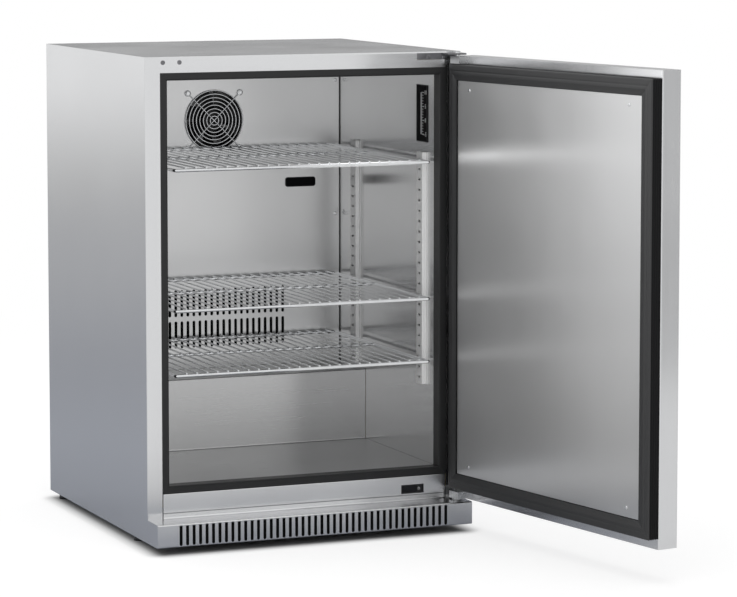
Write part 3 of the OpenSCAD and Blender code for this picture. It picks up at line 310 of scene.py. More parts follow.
def settled_dust():
    """Dust on faces that look up: the upward part of the surface's own direction times
    patchy noise."""
    tree, given, out = new_group("SettledDust", ("Mask",), Amount=0.2)
    up = along_axis(tree, add(tree, "NewGeometry").outputs["Normal"], "Z")
    patchy = spread(tree, noise(tree, given["Vector"], 22.0, 4.0, 0.6), 0.4, 1.0)
    lying = calc(tree, "MULTIPLY", calc(tree, "MAXIMUM", up, 0.0), patchy)
    fill(tree, out, {"Mask": calc(tree, "MULTIPLY", lying, given["Amount"])})
    return tree


def zinc_spangle():
    """Crystals of hot-dip zinc: flat cells, each with a tone of its own, and a faint edge."""
    tree, given, out = new_group("ZincSpangle", ("Tone", "Height"), Size=90.0)
    warp = add(tree, "TexNoise", {"Vector": given["Vector"], "Scale": 60.0})
    nudge = vector_calc(tree, "MULTIPLY", warp.outputs["Color"], (0.006,) * 3)
    bent = vector_calc(tree, "ADD", given["Vector"], nudge)
    cells = add(tree, "TexVoronoi", {"Vector": bent, "Scale": given["Size"]}).outputs
    fill(tree, out, {"Tone": along_axis(tree, cells["Color"], "X"),
                     "Height": cells["Distance"]})
    return tree


GROUP_MAKERS = {
    "BrushedGrain": brushed_grain,
    "SoftPatches": soft_patches,
    "MouldedSkin": moulded_skin,
    "SettledDust": settled_dust,
    "ZincSpangle": zinc_spangle,
}


def use_group(tree, name, **values):
    """Places a shared group in a material, building it the first time."""
    group = bpy.data.node_groups.get(name) or GROUP_MAKERS[name]()
    return add(tree, "Group", values, node_tree=group).outputs


def patches(tree, place, size):
    return use_group(tree, "SoftPatches", Vector=place, Size=size)["Mask"]


def bare_material(name):
    """Empty material; returns it with its tree and object coordinates."""
    material = bpy.data.materials.new(name)
    material.use_nodes = True
    tree = material.node_tree
    tree.nodes.clear()
    return material, tree, add(tree, "TexCoord").outputs["Object"]


def show(tree, shader):
    add(tree, "OutputMaterial", {"Surface": shader.outputs[0]})


def blank(**shader_values):
    """Material with one Principled shader; returns it with its tree, shader and object
    coordinates."""
    material, tree, place = bare_material("Finish")
    values = {key.replace("_", " "): value for key, value in shader_values.items()}
    shader = add(tree, "BsdfPrincipled", values)
    show(tree, shader)
    return material, tree, shader, place


def tint(tree, mask, dark, light):
    """Colour between two tones; 6, 7 and 2 are the Mix node's colour sockets."""
    values = {0: mask, 6: (*dark, 1), 7: (*light, 1)}
    return add(tree, "Mix", values, data_type="RGBA").outputs[2]


def dress(tree, shader, colours, roughness, height=None, depth=0.0):
    """Links a finish's colour and roughness, and its relief, depth metres high."""
    values = {"Base Color": colours, "Roughness": roughness}
    if height is not None:
        relief = add(tree, "Bump", {"Height": height, "Distance": depth, "Strength": 1.0})
        values["Normal"] = relief.outputs[0]
    fill(tree, shader, values)


def times(values, by):
    return tuple(value * by for value in values)


def either_side(tree, mask, tone, contrast):
    """Colour from a little darker to a little lighter than a tone."""
    return tint(tree, mask, times(tone, 1 - contrast), times(tone, 1 + contrast))


def across_grain(tree, stretch):
    """Direction in the surface at right angles to its grain: the surface's own direction
    crossed with the axis that the grain is drawn out along."""
    grain_axis = [0.0, 0.0, 0.0]
    grain_axis[stretch.index(min(stretch))] = 1.0
    normal = add(tree, "NewGeometry").outputs["Normal"]
    crossed = vector_calc(tree, "CROSS_PRODUCT", normal, grain_axis)
    return vector_calc(tree, "ADD", crossed, (0.002, 0.003, 0.001))


def steel(tone, rough, stretch, contrast=0.05, grain=4e-6, dust=0.0, streak=0.7, metal=1.0):
    """Stainless sheet with its grain drawn out by stretch, in waves a metre; streak says how
    far a highlight is drawn out across the grain."""
    material, tree, shader, place = blank(Metallic=metal, Anisotropic=streak)
    tree.links.new(across_grain(tree, stretch), shader.inputs["Tangent"])
    lines = use_group(tree, "BrushedGrain", Vector=place, Stretch=stretch)
    patch = patches(tree, place, 5.0)
    worn = calc(tree, "ADD", spread(tree, patch, -0.02, 0.03),
                spread(tree, lines["Streak"], -0.05, 0.05))
    roughness = calc(tree, "ADD", worn, rough)
    if dust:
        mask = use_group(tree, "SettledDust", Vector=place, Amount=dust)["Mask"]
        roughness = calc(tree, "ADD", roughness, mask)
    mask = weighed(tree, lines["Streak"], 0.75, patch, 0.25)
    dress(tree, shader, either_side(tree, mask, tone, contrast), roughness, lines["Height"],
          grain)
    return material


def plated(tone, rough, contrast=0.06):
    """Bright or dark plating with slight clouding."""
    material, tree, shader, place = blank(Metallic=1.0)
    patch = patches(tree, place, 60.0)
    dress(tree, shader, either_side(tree, patch, tone, contrast),
          spread(tree, patch, rough * 0.75, rough * 1.3), noise(tree, place, 900.0), 5e-6)
    return material


def moulded(tone, rough, size=900.0, depth=1.5e-5, dust=0.06, coat=0.0, sheen=0.5):
    """Moulded plastic or rubber with an eroded skin, uneven gloss and a little dust."""
    material, tree, shader, place = blank(Coat_Weight=coat, Coat_Roughness=0.12,
                                          Specular_IOR_Level=sheen)
    skin = use_group(tree, "MouldedSkin", Vector=place, Size=size)
    dusty = use_group(tree, "SettledDust", Vector=place, Amount=dust)["Mask"]
    mask = calc(tree, "ADD", calc(tree, "MULTIPLY", skin["Mask"], 0.5), dusty, True)
    light = tuple(min(1.0, channel * 1.2 + 0.3 * dust) for channel in tone)
    dress(tree, shader, tint(tree, mask, times(tone, 0.85), light),
          spread(tree, skin["Mask"], rough - 0.07, rough + 0.07), skin["Height"], depth)
    return material


def zinc_sheet():
    """Galvanised sheet: spangle that changes tone, gloss and level from cell to cell."""
    material, tree, shader, place = blank(Metallic=0.9)
    cells = use_group(tree, "ZincSpangle", Vector=place, Size=85.0)
    dress(tree, shader, tint(tree, cells["Tone"], (0.47, 0.49, 0.51), (0.66, 0.68, 0.7)),
          spread(tree, cells["Tone"], 0.34, 0.52), cells["Height"], 2e-5)
    return material


def copper_tube():
    """Drawn copper that has browned in places."""
    material, tree, shader, place = blank(Metallic=1.0)
    patch = patches(tree, place, 28.0)
    dress(tree, shader, tint(tree, patch, (0.55, 0.27, 0.16), (0.8, 0.47, 0.32)),
          spread(tree, patch, 0.45, 0.22), noise(tree, place, 700.0), 8e-6)
    return material


def rigid_foam():
    """Poured foam: pale yellow with open cells."""
    material, tree, shader, place = blank()
    cells = use_group(tree, "MouldedSkin", Vector=place, Size=420.0)
    dress(tree, shader, tint(tree, cells["Mask"], (0.78, 0.68, 0.42), (0.88, 0.8, 0.56)),
          spread(tree, cells["Mask"], 0.85, 0.95), cells["Height"], 4e-4)
    return material


def window():
    """Smoked window over the display: dark body under a clear coat with fine wipe marks."""
    material, tree, shader, place = blank(Coat_Weight=0.25, Coat_Roughness=0.04,
                                          Specular_IOR_Level=0.2)
    drawn_out = vector_calc(tree, "MULTIPLY", place, (260.0, 260.0, 40.0))
    wipes = noise(tree, drawn_out, 1.0, 3.0)
    dress(tree, shader, tint(tree, wipes, (0.004, 0.0045, 0.006), (0.009, 0.01, 0.012)),
          spread(tree, wipes, 0.06, 0.16))
    return material


def printed_white():
    """White ink with the faint unevenness of screen printing."""
    material, tree, shader, place = blank()
    ink = noise(tree, place, 1500.0, 3.0)
    dress(tree, shader, tint(tree, ink, (0.66, 0.67, 0.68), (0.82, 0.83, 0.84)),
          spread(tree, ink, 0.4, 0.6))
    return material


# ---- Finishes ----

UPRIGHT = (1.0, 1.0, 0.01)
SIDEWAYS = (0.01, 1.0, 1.0)


def make_finishes(finish):
    """All materials of the refrigerator, by the name that the tables below use."""
    case, liner = tuple(finish.case_colour), tuple(finish.liner_colour)
    fine, rough, soft = finish.grain, finish.case_roughness, finish.liner_roughness
    upright, sideways = times(UPRIGHT, fine), times(SIDEWAYS, fine)
    fine_upright, fine_sideways = times(UPRIGHT, fine * 1.4), times(SIDEWAYS, fine * 1.4)
    return {
        "case_upright": steel(case, rough, upright),
        "case_sideways": steel(case, rough, sideways, dust=0.03),
        "door_steel": steel(case, rough + 0.04, upright, 0.035, streak=0.8),
        "liner_upright": steel(liner, soft, fine_upright, 0.035, 3e-6),
        # Right wall: the liner steel darkened to 0.93, painted shade, a shaded copy of the liner steel.
        "liner_right": steel(times(liner, 0.93), soft, fine_upright, 0.035, 3e-6),
        "liner_back": steel(liner, soft + 0.11, fine_upright, 0.014, 6e-7, streak=0.6),
        # Storage floor: the liner steel darkened by a share, painted shade, a shaded copy of the liner steel.
        "liner_floor": steel(times(liner, finish.floor_painted_shade), soft + 0.06, fine_sideways,
                             0.06, 5e-6, 0.05),
        "door_liner": steel(liner, finish.door_liner_roughness, fine_upright, 0.02, 2e-6,
                            streak=0.85),
        "pilaster_steel": steel((0.84, 0.84, 0.84), 0.42, upright, 0.03, 3e-6, metal=0.55),
        "aluminium_fin": steel((0.78, 0.79, 0.8), 0.32, times(UPRIGHT, fine * 0.7), 0.05,
                               3e-6),
        "zinc_sheet": zinc_sheet(),
        "copper_tube": copper_tube(),
        "chrome_wire": plated((0.68, 0.69, 0.7), 0.1),
        "bright_zinc": plated((0.74, 0.75, 0.76), 0.24),
        "dark_zinc": plated((0.2, 0.2, 0.21), 0.36, 0.15),
        "block_zinc": plated((0.5, 0.505, 0.51), 0.3),
        # Seal rubber in two tones, near black on the folded side and lighter on the face: painted light, a shaded
        # copy and a lit copy of one rubber.
        "black_gasket": moulded((0.008, 0.0082, 0.009), 0.6, 1100.0, 1e-5, dust=0.01,
                                sheen=0.15),
        "gasket_painted_lit_face": moulded((0.03, 0.0305, 0.032), 0.5, 1100.0, 1e-5, dust=0.03),
        # Near-black mats behind the slots: painted shade, a dark sheet where the slots show only shade.
        "slot_shade_mat": moulded((0.005, 0.005, 0.0055), 0.9, 1500.0, 4e-4, dust=0.01,
                              sheen=0.08),
        "black_strip": moulded((0.011, 0.0113, 0.012), 0.42, 700.0, 1e-5, dust=0.03,
                               sheen=0.4),
        "black_plastic": moulded((0.012, 0.0125, 0.014), 0.4, dust=0.03, sheen=0.4),
        "black_plate": moulded((0.004, 0.0042, 0.005), 0.6, 1500.0, 4e-6, dust=0.0,
                               sheen=0.06),
        "black_enamel": moulded((0.012, 0.012, 0.013), 0.24, 260.0, 3e-5, coat=0.6),
        "white_plastic": moulded((0.78, 0.78, 0.76), 0.38, 800.0, 1e-5),
        "dark_glass": window(),
        "foam": rigid_foam(),
        "printed_white": printed_white(),
    }


FINISH_OF_SLOT = {"brushed_case": "case_upright", "liner_steel": "liner_upright"}
FINISH_OF_NODE = {
    "top_panel": "case_sideways",
    "sill_panel": "case_sideways",
    "plinth_grille": "case_sideways",
    "liner_floor": "liner_floor",
    "door_liner": "door_liner",
    "interior_plates": "black_plate",
    "door_bushes": "block_zinc",
    "case_screws": "dark_zinc",
    "liner_right": "liner_right",
    "door_outer": "door_steel",
    "liner_ceiling_back": "liner_back",
    "evaporator_cover": "liner_back",
}
FINISHES = {}


def finish_named(name):
    """One of the materials; the first call makes them all."""
    if not FINISHES:
        FINISHES.update(make_finishes(bpy.context.scene.refrigerator_finish))
        for key, material in FINISHES.items():
            material.name = key.title().replace("_", "")
    return FINISHES[name]


class FinishSettings(bpy.types.PropertyGroup):
    case_colour: colour("Case steel", "Colour of the outer steel", (0.69, 0.695, 0.705))
    liner_colour: colour("Liner steel", "Colour of the steel inside", (0.66, 0.662, 0.665))
    case_roughness: share("Case roughness", "Roughness of the outer steel", 0.19, 0.05, 0.6)
    liner_roughness: share("Liner roughness", "Roughness of the steel inside", 0.2, 0.05, 0.6)
    door_liner_roughness: share(
        "Door liner roughness", "Roughness of the steel inside the door", 0.33, 0.05, 0.6)
    # Share by which the storage floor's steel is darkened: painted shade.
    floor_painted_shade: share(
        "Floor painted shade", "How much of its brightness the storage floor keeps", 0.8, 0.3)
    grain: setting("Grain", "Grain lines in a metre across the grain", 900.0, 200, 3000)


class REFRIGERATOR_OT_finish_nodes(bpy.types.Operator):
    """Give every node of the frame its finish"""

    bl_idname = "refrigerator.finish_nodes"
    bl_label = "Finish the Frame"

    def execute(self, context):
        for name, obj in NODES.items():
            slot = SLOT_OF[name]
            finish = FINISH_OF_NODE.get(name) or FINISH_OF_SLOT.get(slot, slot)
            obj.data.materials.clear()
            obj.data.materials.append(finish_named(finish))
        return {"FINISHED"}


# ---- Door seal ----


class SealSettings(bpy.types.PropertyGroup):
    ribs: setting("Ribs", "Folds in the seal's outer side", 4, 2, 7)
    rib_depth: length("Rib depth", "Depth of the folds", 1.4, 0, 2)
    edge: length("Edge", "Radius between the seal's side and its face", 2.4, 0.5, 4)
    groove: length("Groove", "Depth of the groove along the face", 0.5, 0, 1)
    weld: length("Corner weld", "Depth of the weld line at each corner", 0.15, 0, 1)


SEAL_FOLD_STEPS = 48
SEAL_LIP_SIDES = 6


def seal_profile(width, rise, seal):
    """Section of the seal, u inwards from its outer edge and v up from the door: a folded
    side u = depth sin^2(ribs pi v / side), a quarter round at its edge, a face with a
    groove, and a low inner lip."""
    edge, step, waist = seal.edge, 0.8 * MM, 1.6 * MM
    face_end, groove_at, groove_width = 0.62, 0.62, 0.1
    v = np.linspace(0, 1, SEAL_FOLD_STEPS + 1)[:-1]
    folds = np.stack([seal.rib_depth * np.sin(seal.ribs * math.pi * v) ** 2,
                      v * (rise - edge)], -1)
    a = np.linspace(0, math.pi / 2, 6)
    nose = np.stack([edge * (1 - np.cos(a)), rise - edge * (1 - np.sin(a))], -1)
    t = np.linspace(0, 1, 27)[1:]
    hollow = seal.groove * np.exp(-((t - groove_at) / groove_width) ** 2)
    face = np.stack([edge + (face_end * width - edge) * t, rise - hollow], -1)
    lip = np.array([
        [0.66 * width, rise - step], [width - 1.4 * MM, rise - step],
        [width - 0.4 * MM, rise - 1.5 * step], [width, rise - 2.5 * step],
        [width, 0.62 * rise], [width - waist, 0.5 * rise], [width, 0.38 * rise], [width, 0],
    ])
    return np.concatenate([folds, nose, face, lip])


def rolled_clear(points, roll):
    """Draws what lies further than roll from the hinge axis, beside it and behind it, in to
    that distance: p' = axis + (p - axis) roll / |p - axis|."""
    from_axis = points[:, :2] - HINGE_AT[:2]
    reach = np.linalg.norm(from_axis, axis=1)
    far = (from_axis > 0).all(axis=1) & (reach > roll)
    eased = points.copy()
    eased[far, :2] = HINGE_AT[:2] + from_axis[far] * (roll / reach[far])[:, None]
    return eased


def carried_round(profile, low, high, back_y, weld):
    """Carries a section round an upright rectangle with mitred corners: at station t of side
    k a point is corner_k(u) (1 - t) + corner_k+1(u) t, where corner_k(u) is the corner moved
    in by u. At each corner the height v dips by weld."""
    signs = np.array([[-1, -1], [1, -1], [1, 1], [-1, 1]], float)
    middle, half = ((high + low) / 2)[[0, 2]], ((high - low) / 2)[[0, 2]]
    u, v = profile[:, 0], profile[:, 1]
    corners = middle + signs[:, None, :] * (half - u[None, :, None])
    ends = np.roll(corners, -1, axis=0)
    weld_share, first = 0.0012, 0.02
    t = np.concatenate([[0, weld_share], np.linspace(first, 1 - first, 25),
                        [1 - weld_share]])
    dip = np.where(t == 0, weld, 0.0)
    plan = corners[:, None] + (ends - corners)[:, None] * t[None, :, None, None]
    height = np.maximum(v[None, None, :] - dip[None, :, None] * (v > 0), 0)
    height = np.broadcast_to(height, plan.shape[:3])
    grid = np.stack([plan[..., 0], back_y + height, plan[..., 1]], -1)
    faces = grid_quads(4 * len(t), len(profile), True, True).tolist()
    return grid.reshape(-1, 3), faces


class REFRIGERATOR_OT_make_seal(bpy.types.Operator):
    """Make the folded rubber seal round the door"""

    bl_idname = "refrigerator.make_seal"
    bl_label = "Door Seal"

    def execute(self, context):
        shut = turn_about_hinge(corners_of(NODES["door_gasket"].data), -OPEN_TURN)
        low, high = shut.min(0), shut.max(0)
        width = high[0] - np.abs(shut[:, 0]).min()
        rise = high[1] - low[1]
        case_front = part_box("top_panel")[0].y
        settings = context.scene.refrigerator_seal
        profile, gap = seal_profile(width, rise, settings), 0.25 * MM
        points, faces = carried_round(profile, low, high, low[1], settings.weld)
        points = rolled_clear(points, case_front - HINGE_AT[1] - gap)
        surface = turn_about_hinge(points, OPEN_TURN), faces
        # The seal's face takes the lighter rubber and its folds the darker one: painted light on one rubber.
        column = np.arange(len(faces)) % len(profile)
        on_painted_lit_face = (column >= SEAL_FOLD_STEPS) & (column < len(profile) - SEAL_LIP_SIDES)
        make_piece("door_seal_rubber", surface, "black_gasket", "door",
                   ["door_gasket"], ("gasket_painted_lit_face", np.flatnonzero(on_painted_lit_face)))
        return {"FINISHED"}


# ---- Fan ----


class FanSettings(bpy.types.PropertyGroup):
    blades: setting("Blades", "Blades on the fan", 7, 3, 11)
    hub: length("Hub", "Radius of the hub", 21, 10, 30)
    root_angle: setting("Root angle", "Angle of a blade at the hub", math.radians(40), 0,
                        math.radians(70), subtype="ANGLE")
    tip_angle: setting("Tip angle", "Angle of a blade at its tip", math.radians(22), 0,
                       math.radians(70), subtype="ANGLE")


def fan_blade(middle, hub, tip, turn, fan):
    """Cambered blade: at radius r its section runs round s = cos p, thickness sin p, with
    camber 1 - s^2, set at an angle that falls from root to tip, and wraps round the axis."""
    root_chord, chord_gain, thickness, thinning = 22, 15, 0.9 * MM, 0.4
    camber, sweep = 2.6 * MM, 0.22
    q = np.linspace(0, 1, 12)[:, None]
    p = round_angles(24)[None]
    r = hub + (tip - hub) * q
    chord = (root_chord + chord_gain * q) * MM
    angle = fan.root_angle + (fan.tip_angle - fan.root_angle) * q
    along = chord / 2 * np.cos(p)
    off = thickness * np.sin(p) * (1 - thinning * q) + camber * (1 - np.cos(p) ** 2)
    around = turn + sweep * q ** 2 + (along * np.cos(angle) - off * np.sin(angle)) / r
    ahead = along * np.sin(angle) + off * np.cos(angle)
    grid = np.stack([middle[0] + r * np.cos(around), middle[1] + ahead,
                     middle[2] + r * np.sin(around)], -1)
    return tube(grid)


class REFRIGERATOR_OT_make_fan(bpy.types.Operator):
    """Make the air fan's hub and curved blades"""

    bl_idname = "refrigerator.make_fan"
    bl_label = "Air Fan"

    def execute(self, context):
        fan = context.scene.refrigerator_fan
        low, high = (np.array(corner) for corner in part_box("fan_rotor"))
        middle = (low + high) / 2
        hub, y0, y1 = fan.hub, low[1], high[1]
        edge, wall, boss, bore = 3 * MM, 2 * MM, 6 * MM, 3.4 * MM
        centre, tip_gap, ease_in, ease_back = 0.5 * MM, 0.3 * MM, 0.9 * MM, 0.8 * MM
        tip = (high[0] - low[0]) / 2 - tip_gap
        profile = np.array([
            [centre, y0], [hub - edge, y0], [hub - ease_in, y0 + ease_back],
            [hub, y0 + edge], [hub, y1], [hub - wall, y1], [hub - wall, y0 + 2 * edge],
            [boss, y0 + 2 * edge], [boss, y1 - MM], [bore, y1 - MM], [bore, y0 + edge],
            [centre, y0 + edge],
        ])
        parts = [lathe(profile, (middle[0], 0, middle[2]), 64)]
        for k in range(fan.blades):
            turn = 2 * math.pi * k / fan.blades
            parts.append(fan_blade(middle, hub - MM, tip, turn, fan))
        make_piece("air_fan_blades", joined(parts), "black_plastic", "fan_rotor",
                   ["fan_rotor"])
        return {"FINISHED"}


# ---- Shelf welds ----


class ShelfSettings(bpy.types.PropertyGroup):
    wires: setting("Wires", "Wires that cross each shelf", 24, 4, 40)
    frame_radius: length("Frame wire", "Radius of the frame wire", 3, 1, 5)
    bead: length("Weld bead", "Half width of a resistance weld", 1.6, 0.5, 4)


def beads(centres, radii, rings=6, around=10):
    """Many copies of one flattened ball (a cos e cos t, b cos e sin t, c sin e), one at each
    centre."""
    last = 1.45
    e = np.linspace(-last, last, rings)[:, None]
    t = round_angles(around)[None]
    ball = np.stack([radii[0] * np.cos(e) * np.cos(t), radii[1] * np.cos(e) * np.sin(t),
                     radii[2] * np.sin(e) * np.ones_like(t)], -1)
    one, faces = tube(ball)
    starts = range(0, len(centres) * len(one), len(one))
    all_faces = [[start + c for c in face] for start in starts for face in faces]
    return (centres[:, None] + one).reshape(-1, 3), all_faces


CROSS_BAR_BACK, WELD_SUNK = 27 * MM, 0.5 * MM


class REFRIGERATOR_OT_make_welds(bpy.types.Operator):
    """Make the welds where the wires of each shelf cross its frame"""

    bl_idname = "refrigerator.make_welds"
    bl_label = "Shelf Welds"

    def execute(self, context):
        shelf = context.scene.refrigerator_shelf
        r = shelf.frame_radius
        for name in ("shelf_top", "shelf_middle", "shelf_bottom"):
            low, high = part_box(name)
            half = high.x - r
            x = -half + 2 * half * np.arange(1, shelf.wires + 1) / (shelf.wires + 1)
            middle = (low.y + high.y) / 2 + CROSS_BAR_BACK
            y = np.array([low.y + r, middle, high.y - r])
            grid = np.stack(np.meshgrid(x, y, indexing="ij"), -1).reshape(-1, 2)
            z = np.full(len(grid), low.z + 2 * r - WELD_SUNK)
            surface = beads(np.column_stack([grid, z]), (shelf.bead, 1.2 * shelf.bead, MM))
            make_piece(name + "_welds", surface, "chrome_wire", name)
        return {"FINISHED"}


# ---- Plates and control ----


RIGHT, FRONT, UP = np.array([1.0, 0, 0]), np.array([0, -1.0, 0]), np.array([0, 0, 1.0])
PRINT_HEIGHT, PRINT_ROOT = 0.12 * MM, 0.05 * MM
SCALE_MARGIN = 14 * MM
SCALE_NUMBERS = ("-5", "0", "5", "10")


class PlateSettings(bpy.types.PropertyGroup):
    ticks: setting("Ticks", "Marks on the temperature strip", 16, 5, 40)
    number_size: length("Numbers", "Height of the numbers", 11, 3, 15)
    rim: length("Rim", "Radius of the rim round each plate", 0.7, 0.2, 2)


def plate_boxes():
    """Lowest and highest corners of the rear wall's plate and of the right wall's plate."""
    points, reach = corners_of(NODES["interior_plates"].data), 5 * MM
    on_side = points[:, 0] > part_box("interior_plates")[1].x - reach
    rear, side = points[~on_side], points[on_side]
    return (rear.min(0), rear.max(0)), (side.min(0), side.max(0))


def rim_round(middle, across, up, out, size, corner, radius):
    """Round bead on a rectangle with round corners: ring a (n cos p + out sin p) about each
    point of the outline, where n is the outline's own normal."""
    per_corner, around = 8, 10
    turns = np.concatenate([np.linspace(0, math.pi / 2, per_corner) + k * math.pi / 2
                            for k in range(4)])
    signs = np.array([[1, 1], [-1, 1], [-1, -1], [1, -1]], float)
    signs = signs.repeat(per_corner, axis=0)
    normal = np.stack([np.cos(turns), np.sin(turns)], -1)
    line = signs * (np.array(size) / 2 - corner) + normal * (corner - radius)
    p = round_angles(around)
    flat = line[:, None] + radius * normal[:, None] * np.cos(p)[None, :, None]
    rise = radius * np.sin(p)[None, :, None]
    grid = middle + flat[..., :1] * across + flat[..., 1:] * up + rise * out
    return grid.reshape(-1, 3), grid_quads(len(line), around, True, True).tolist()


def slab(face_x, y, z, width, height):
    """Thin printed bar on a wall plate that faces -x."""
    corners = np.array([[x, y + sy * width / 2, z + sz * height / 2]
                        for x in (face_x - PRINT_HEIGHT, face_x + PRINT_ROOT)
                        for sy, sz in ((-1, -1), (1, -1), (1, 1), (-1, 1))])
    faces = [[0, 1, 2, 3], [7, 6, 5, 4]]
    faces += [[k, k + 4, (k + 1) % 4 + 4, (k + 1) % 4] for k in range(4)]
    return corners, faces


def number_on_wall(text, size, face_x, y, z):
    """Raised number on a plate that faces -x: the font's x runs to -y and its y runs up."""
    curve = bpy.data.curves.new("number", "FONT")
    curve.body, curve.size, curve.extrude = text, size, PRINT_HEIGHT / 2
    curve.align_x, curve.align_y = "CENTER", "CENTER"
    curve.resolution_u = 3
    holder = into_scene("number", curve)
    bpy.context.view_layer.update()
    seen = holder.evaluated_get(bpy.context.evaluated_depsgraph_get())
    mesh = bpy.data.meshes.new_from_object(seen)
    local = corners_of(mesh)
    faces = [list(polygon.vertices) for polygon in mesh.polygons]
    bpy.data.objects.remove(holder)
    bpy.data.meshes.remove(mesh)
    x = face_x - PRINT_HEIGHT / 2 - local[:, 2]
    return np.stack([x, y - local[:, 0], z + local[:, 1]], -1), faces


def scale_marks(plate, low, high):
    """Spine, ticks and numbers of the temperature strip, on the plate from low to high."""
    face_x, middle = low[0], (low[1] + high[1]) / 2
    ends = low[2] + SCALE_MARGIN, high[2] - SCALE_MARGIN
    spine_at, ticks_at, numbers_at = middle + 3 * MM, middle - 1 * MM, middle - 16 * MM
    spine_width, tick_height = 3.4 * MM, 1.3 * MM
    long_tick, short_tick, long_every = 9 * MM, 5.5 * MM, 5
    marks = [slab(face_x, spine_at, sum(ends) / 2, spine_width, ends[1] - ends[0])]
    for k, z in enumerate(np.linspace(*ends, plate.ticks)):
        reach = short_tick if k % long_every else long_tick
        marks.append(slab(face_x, ticks_at - reach / 2, z, reach, tick_height))
    for text, z in zip(SCALE_NUMBERS, np.linspace(*ends, len(SCALE_NUMBERS))):
        marks.append(number_on_wall(text, plate.number_size, face_x, numbers_at, z))
    return joined(marks)


def key_sign():
    """Ring with a bar, printed on the hollow front of the key."""
    low, high = (np.array(corner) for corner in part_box("control_key"))
    middle, hollow = (low + high) / 2, 0.55 * MM
    middle[1] = low[1] + hollow
    ring_width, ring_line, bar_line, bar_rise = 4.6 * MM, 0.35 * MM, 0.4 * MM, 2 * MM
    bar_size = np.array([0.9, 2.6]) * MM
    ring = rim_round(middle, RIGHT, UP, FRONT, np.full(2, ring_width), ring_width / 2,
                     ring_line)
    bar = rim_round(middle + bar_rise * UP, RIGHT, UP, FRONT, bar_size, bar_size[0] / 2,
                    bar_line)
    return joined([ring, bar])


class REFRIGERATOR_OT_make_plates(bpy.types.Operator):
    """Make the rims of the plates, the temperature strip's scale and the key's sign"""

    bl_idname = "refrigerator.make_plates"
    bl_label = "Plates and Scale"

    def execute(self, context):
        plate = context.scene.refrigerator_plate
        rear_corner, side_corner = 5 * MM, 1.5 * MM
        (rear_low, rear_high), (side_low, side_high) = plate_boxes()
        rear_mid, side_mid = (rear_low + rear_high) / 2, (side_low + side_high) / 2
        rear_mid[1], side_mid[0] = rear_low[1], side_low[0]
        rear_size = (rear_high - rear_low)[[0, 2]]
        side_size = (side_high - side_low)[[1, 2]]
        rims = [rim_round(rear_mid, RIGHT, UP, FRONT, rear_size, rear_corner, plate.rim),
                rim_round(side_mid, FRONT, UP, -RIGHT, side_size, side_corner, plate.rim)]
        make_piece("plate_rims", joined(rims), "black_plastic", "cabinet")
        make_piece("key_mark", key_sign(), "printed_white", "control_key")
        make_piece("temperature_scale", scale_marks(plate, side_low, side_high),
                   "printed_white", "cabinet")
        return {"FINISHED"}


# ---- Mats of painted shade ----


MATS = (
    # name, node in front, half width, lowest and highest point, gap behind the node's face
    ("air_slot_shade_mat", "evaporator_cover", 146 * MM, 280 * MM, 404 * MM, 1.5 * MM),
    ("plinth_slot_shade_mat", "plinth_grille", 262 * MM, 16 * MM, 50 * MM, 2.2 * MM),
)


# The mats are near-black sheets behind the slots: painted shade.
class MatSettings(bpy.types.PropertyGroup):
    thickness: length("Mat", "Thickness of the filter mats", 4, 1, 8)
    waves: length("Waves", "Depth of the waves in a mat's face", 0.5, 0, 1.5)


def wavy_mat(low, high, depth):
    """Upright mat: its front face is y = low + depth (1 + sin a x sin b z) / 2 over a grid,
    with a and b in waves of 2 pi a metre, and its back is flat."""
    a, b = 410, 370
    x, z = np.meshgrid(np.linspace(low[0], high[0], 120), np.linspace(low[2], high[2], 24),
                       indexing="ij")
    front = low[1] + depth * (1 + np.sin(a * x) * np.sin(b * z)) / 2
    edge = np.ones_like(x, bool)
    edge[1:-1, 1:-1] = False
    front = np.where(edge, low[1] + depth, front)
    rings = np.stack([np.stack([x, front, z], -1),
                      np.stack([x, np.full_like(x, high[1]), z], -1)])
    rows, cols = x.shape
    quads = grid_quads(rows, cols, False, False)
    faces = quads.tolist() + (quads + rows * cols)[:, ::-1].tolist()
    i, j = np.arange(rows), np.arange(cols)
    rim = np.concatenate([i * cols, (rows - 1) * cols + j[1:], i[-2::-1] * cols + cols - 1,
                          j[-2:0:-1]])
    rim_next = np.roll(rim, -1)
    walls = np.stack([rim_next, rim, rim + rows * cols, rim_next + rows * cols], -1)
    return rings.reshape(-1, 3), faces + walls.tolist()


class REFRIGERATOR_OT_make_mats(bpy.types.Operator):
    """Make the near-black mats behind the slots of the cooler's cover and of the plinth, which paint the shade
    that the slots look into
    """

    bl_idname = "refrigerator.make_mats"
    bl_label = "Filter Mats"

    def execute(self, context):
        mat = context.scene.refrigerator_mat
        for name, node, half, low_z, high_z, gap in MATS:
            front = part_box(node)[0].y + gap
            surface = wavy_mat((-half, front, low_z), (half, front + mat.thickness, high_z),
                               mat.waves)
            make_piece(name, surface, "slot_shade_mat", "cabinet")
        return {"FINISHED"}


# ---- Studio ----


CAMERA_AT = (-2.1446, -5.6848, 1.1433)
CAMERA_PITCH, CAMERA_YAW = math.radians(-5.698), math.radians(-22.752)
LENS, SENSOR, SHIFT = 160.98, 36.0, -0.1
FLOOR_RADIUS, CLOTH_RADIUS, CLOTH_HEIGHT = 60.0, 16.0, 0.0006
FOOTPRINT_INSET = 20 * MM


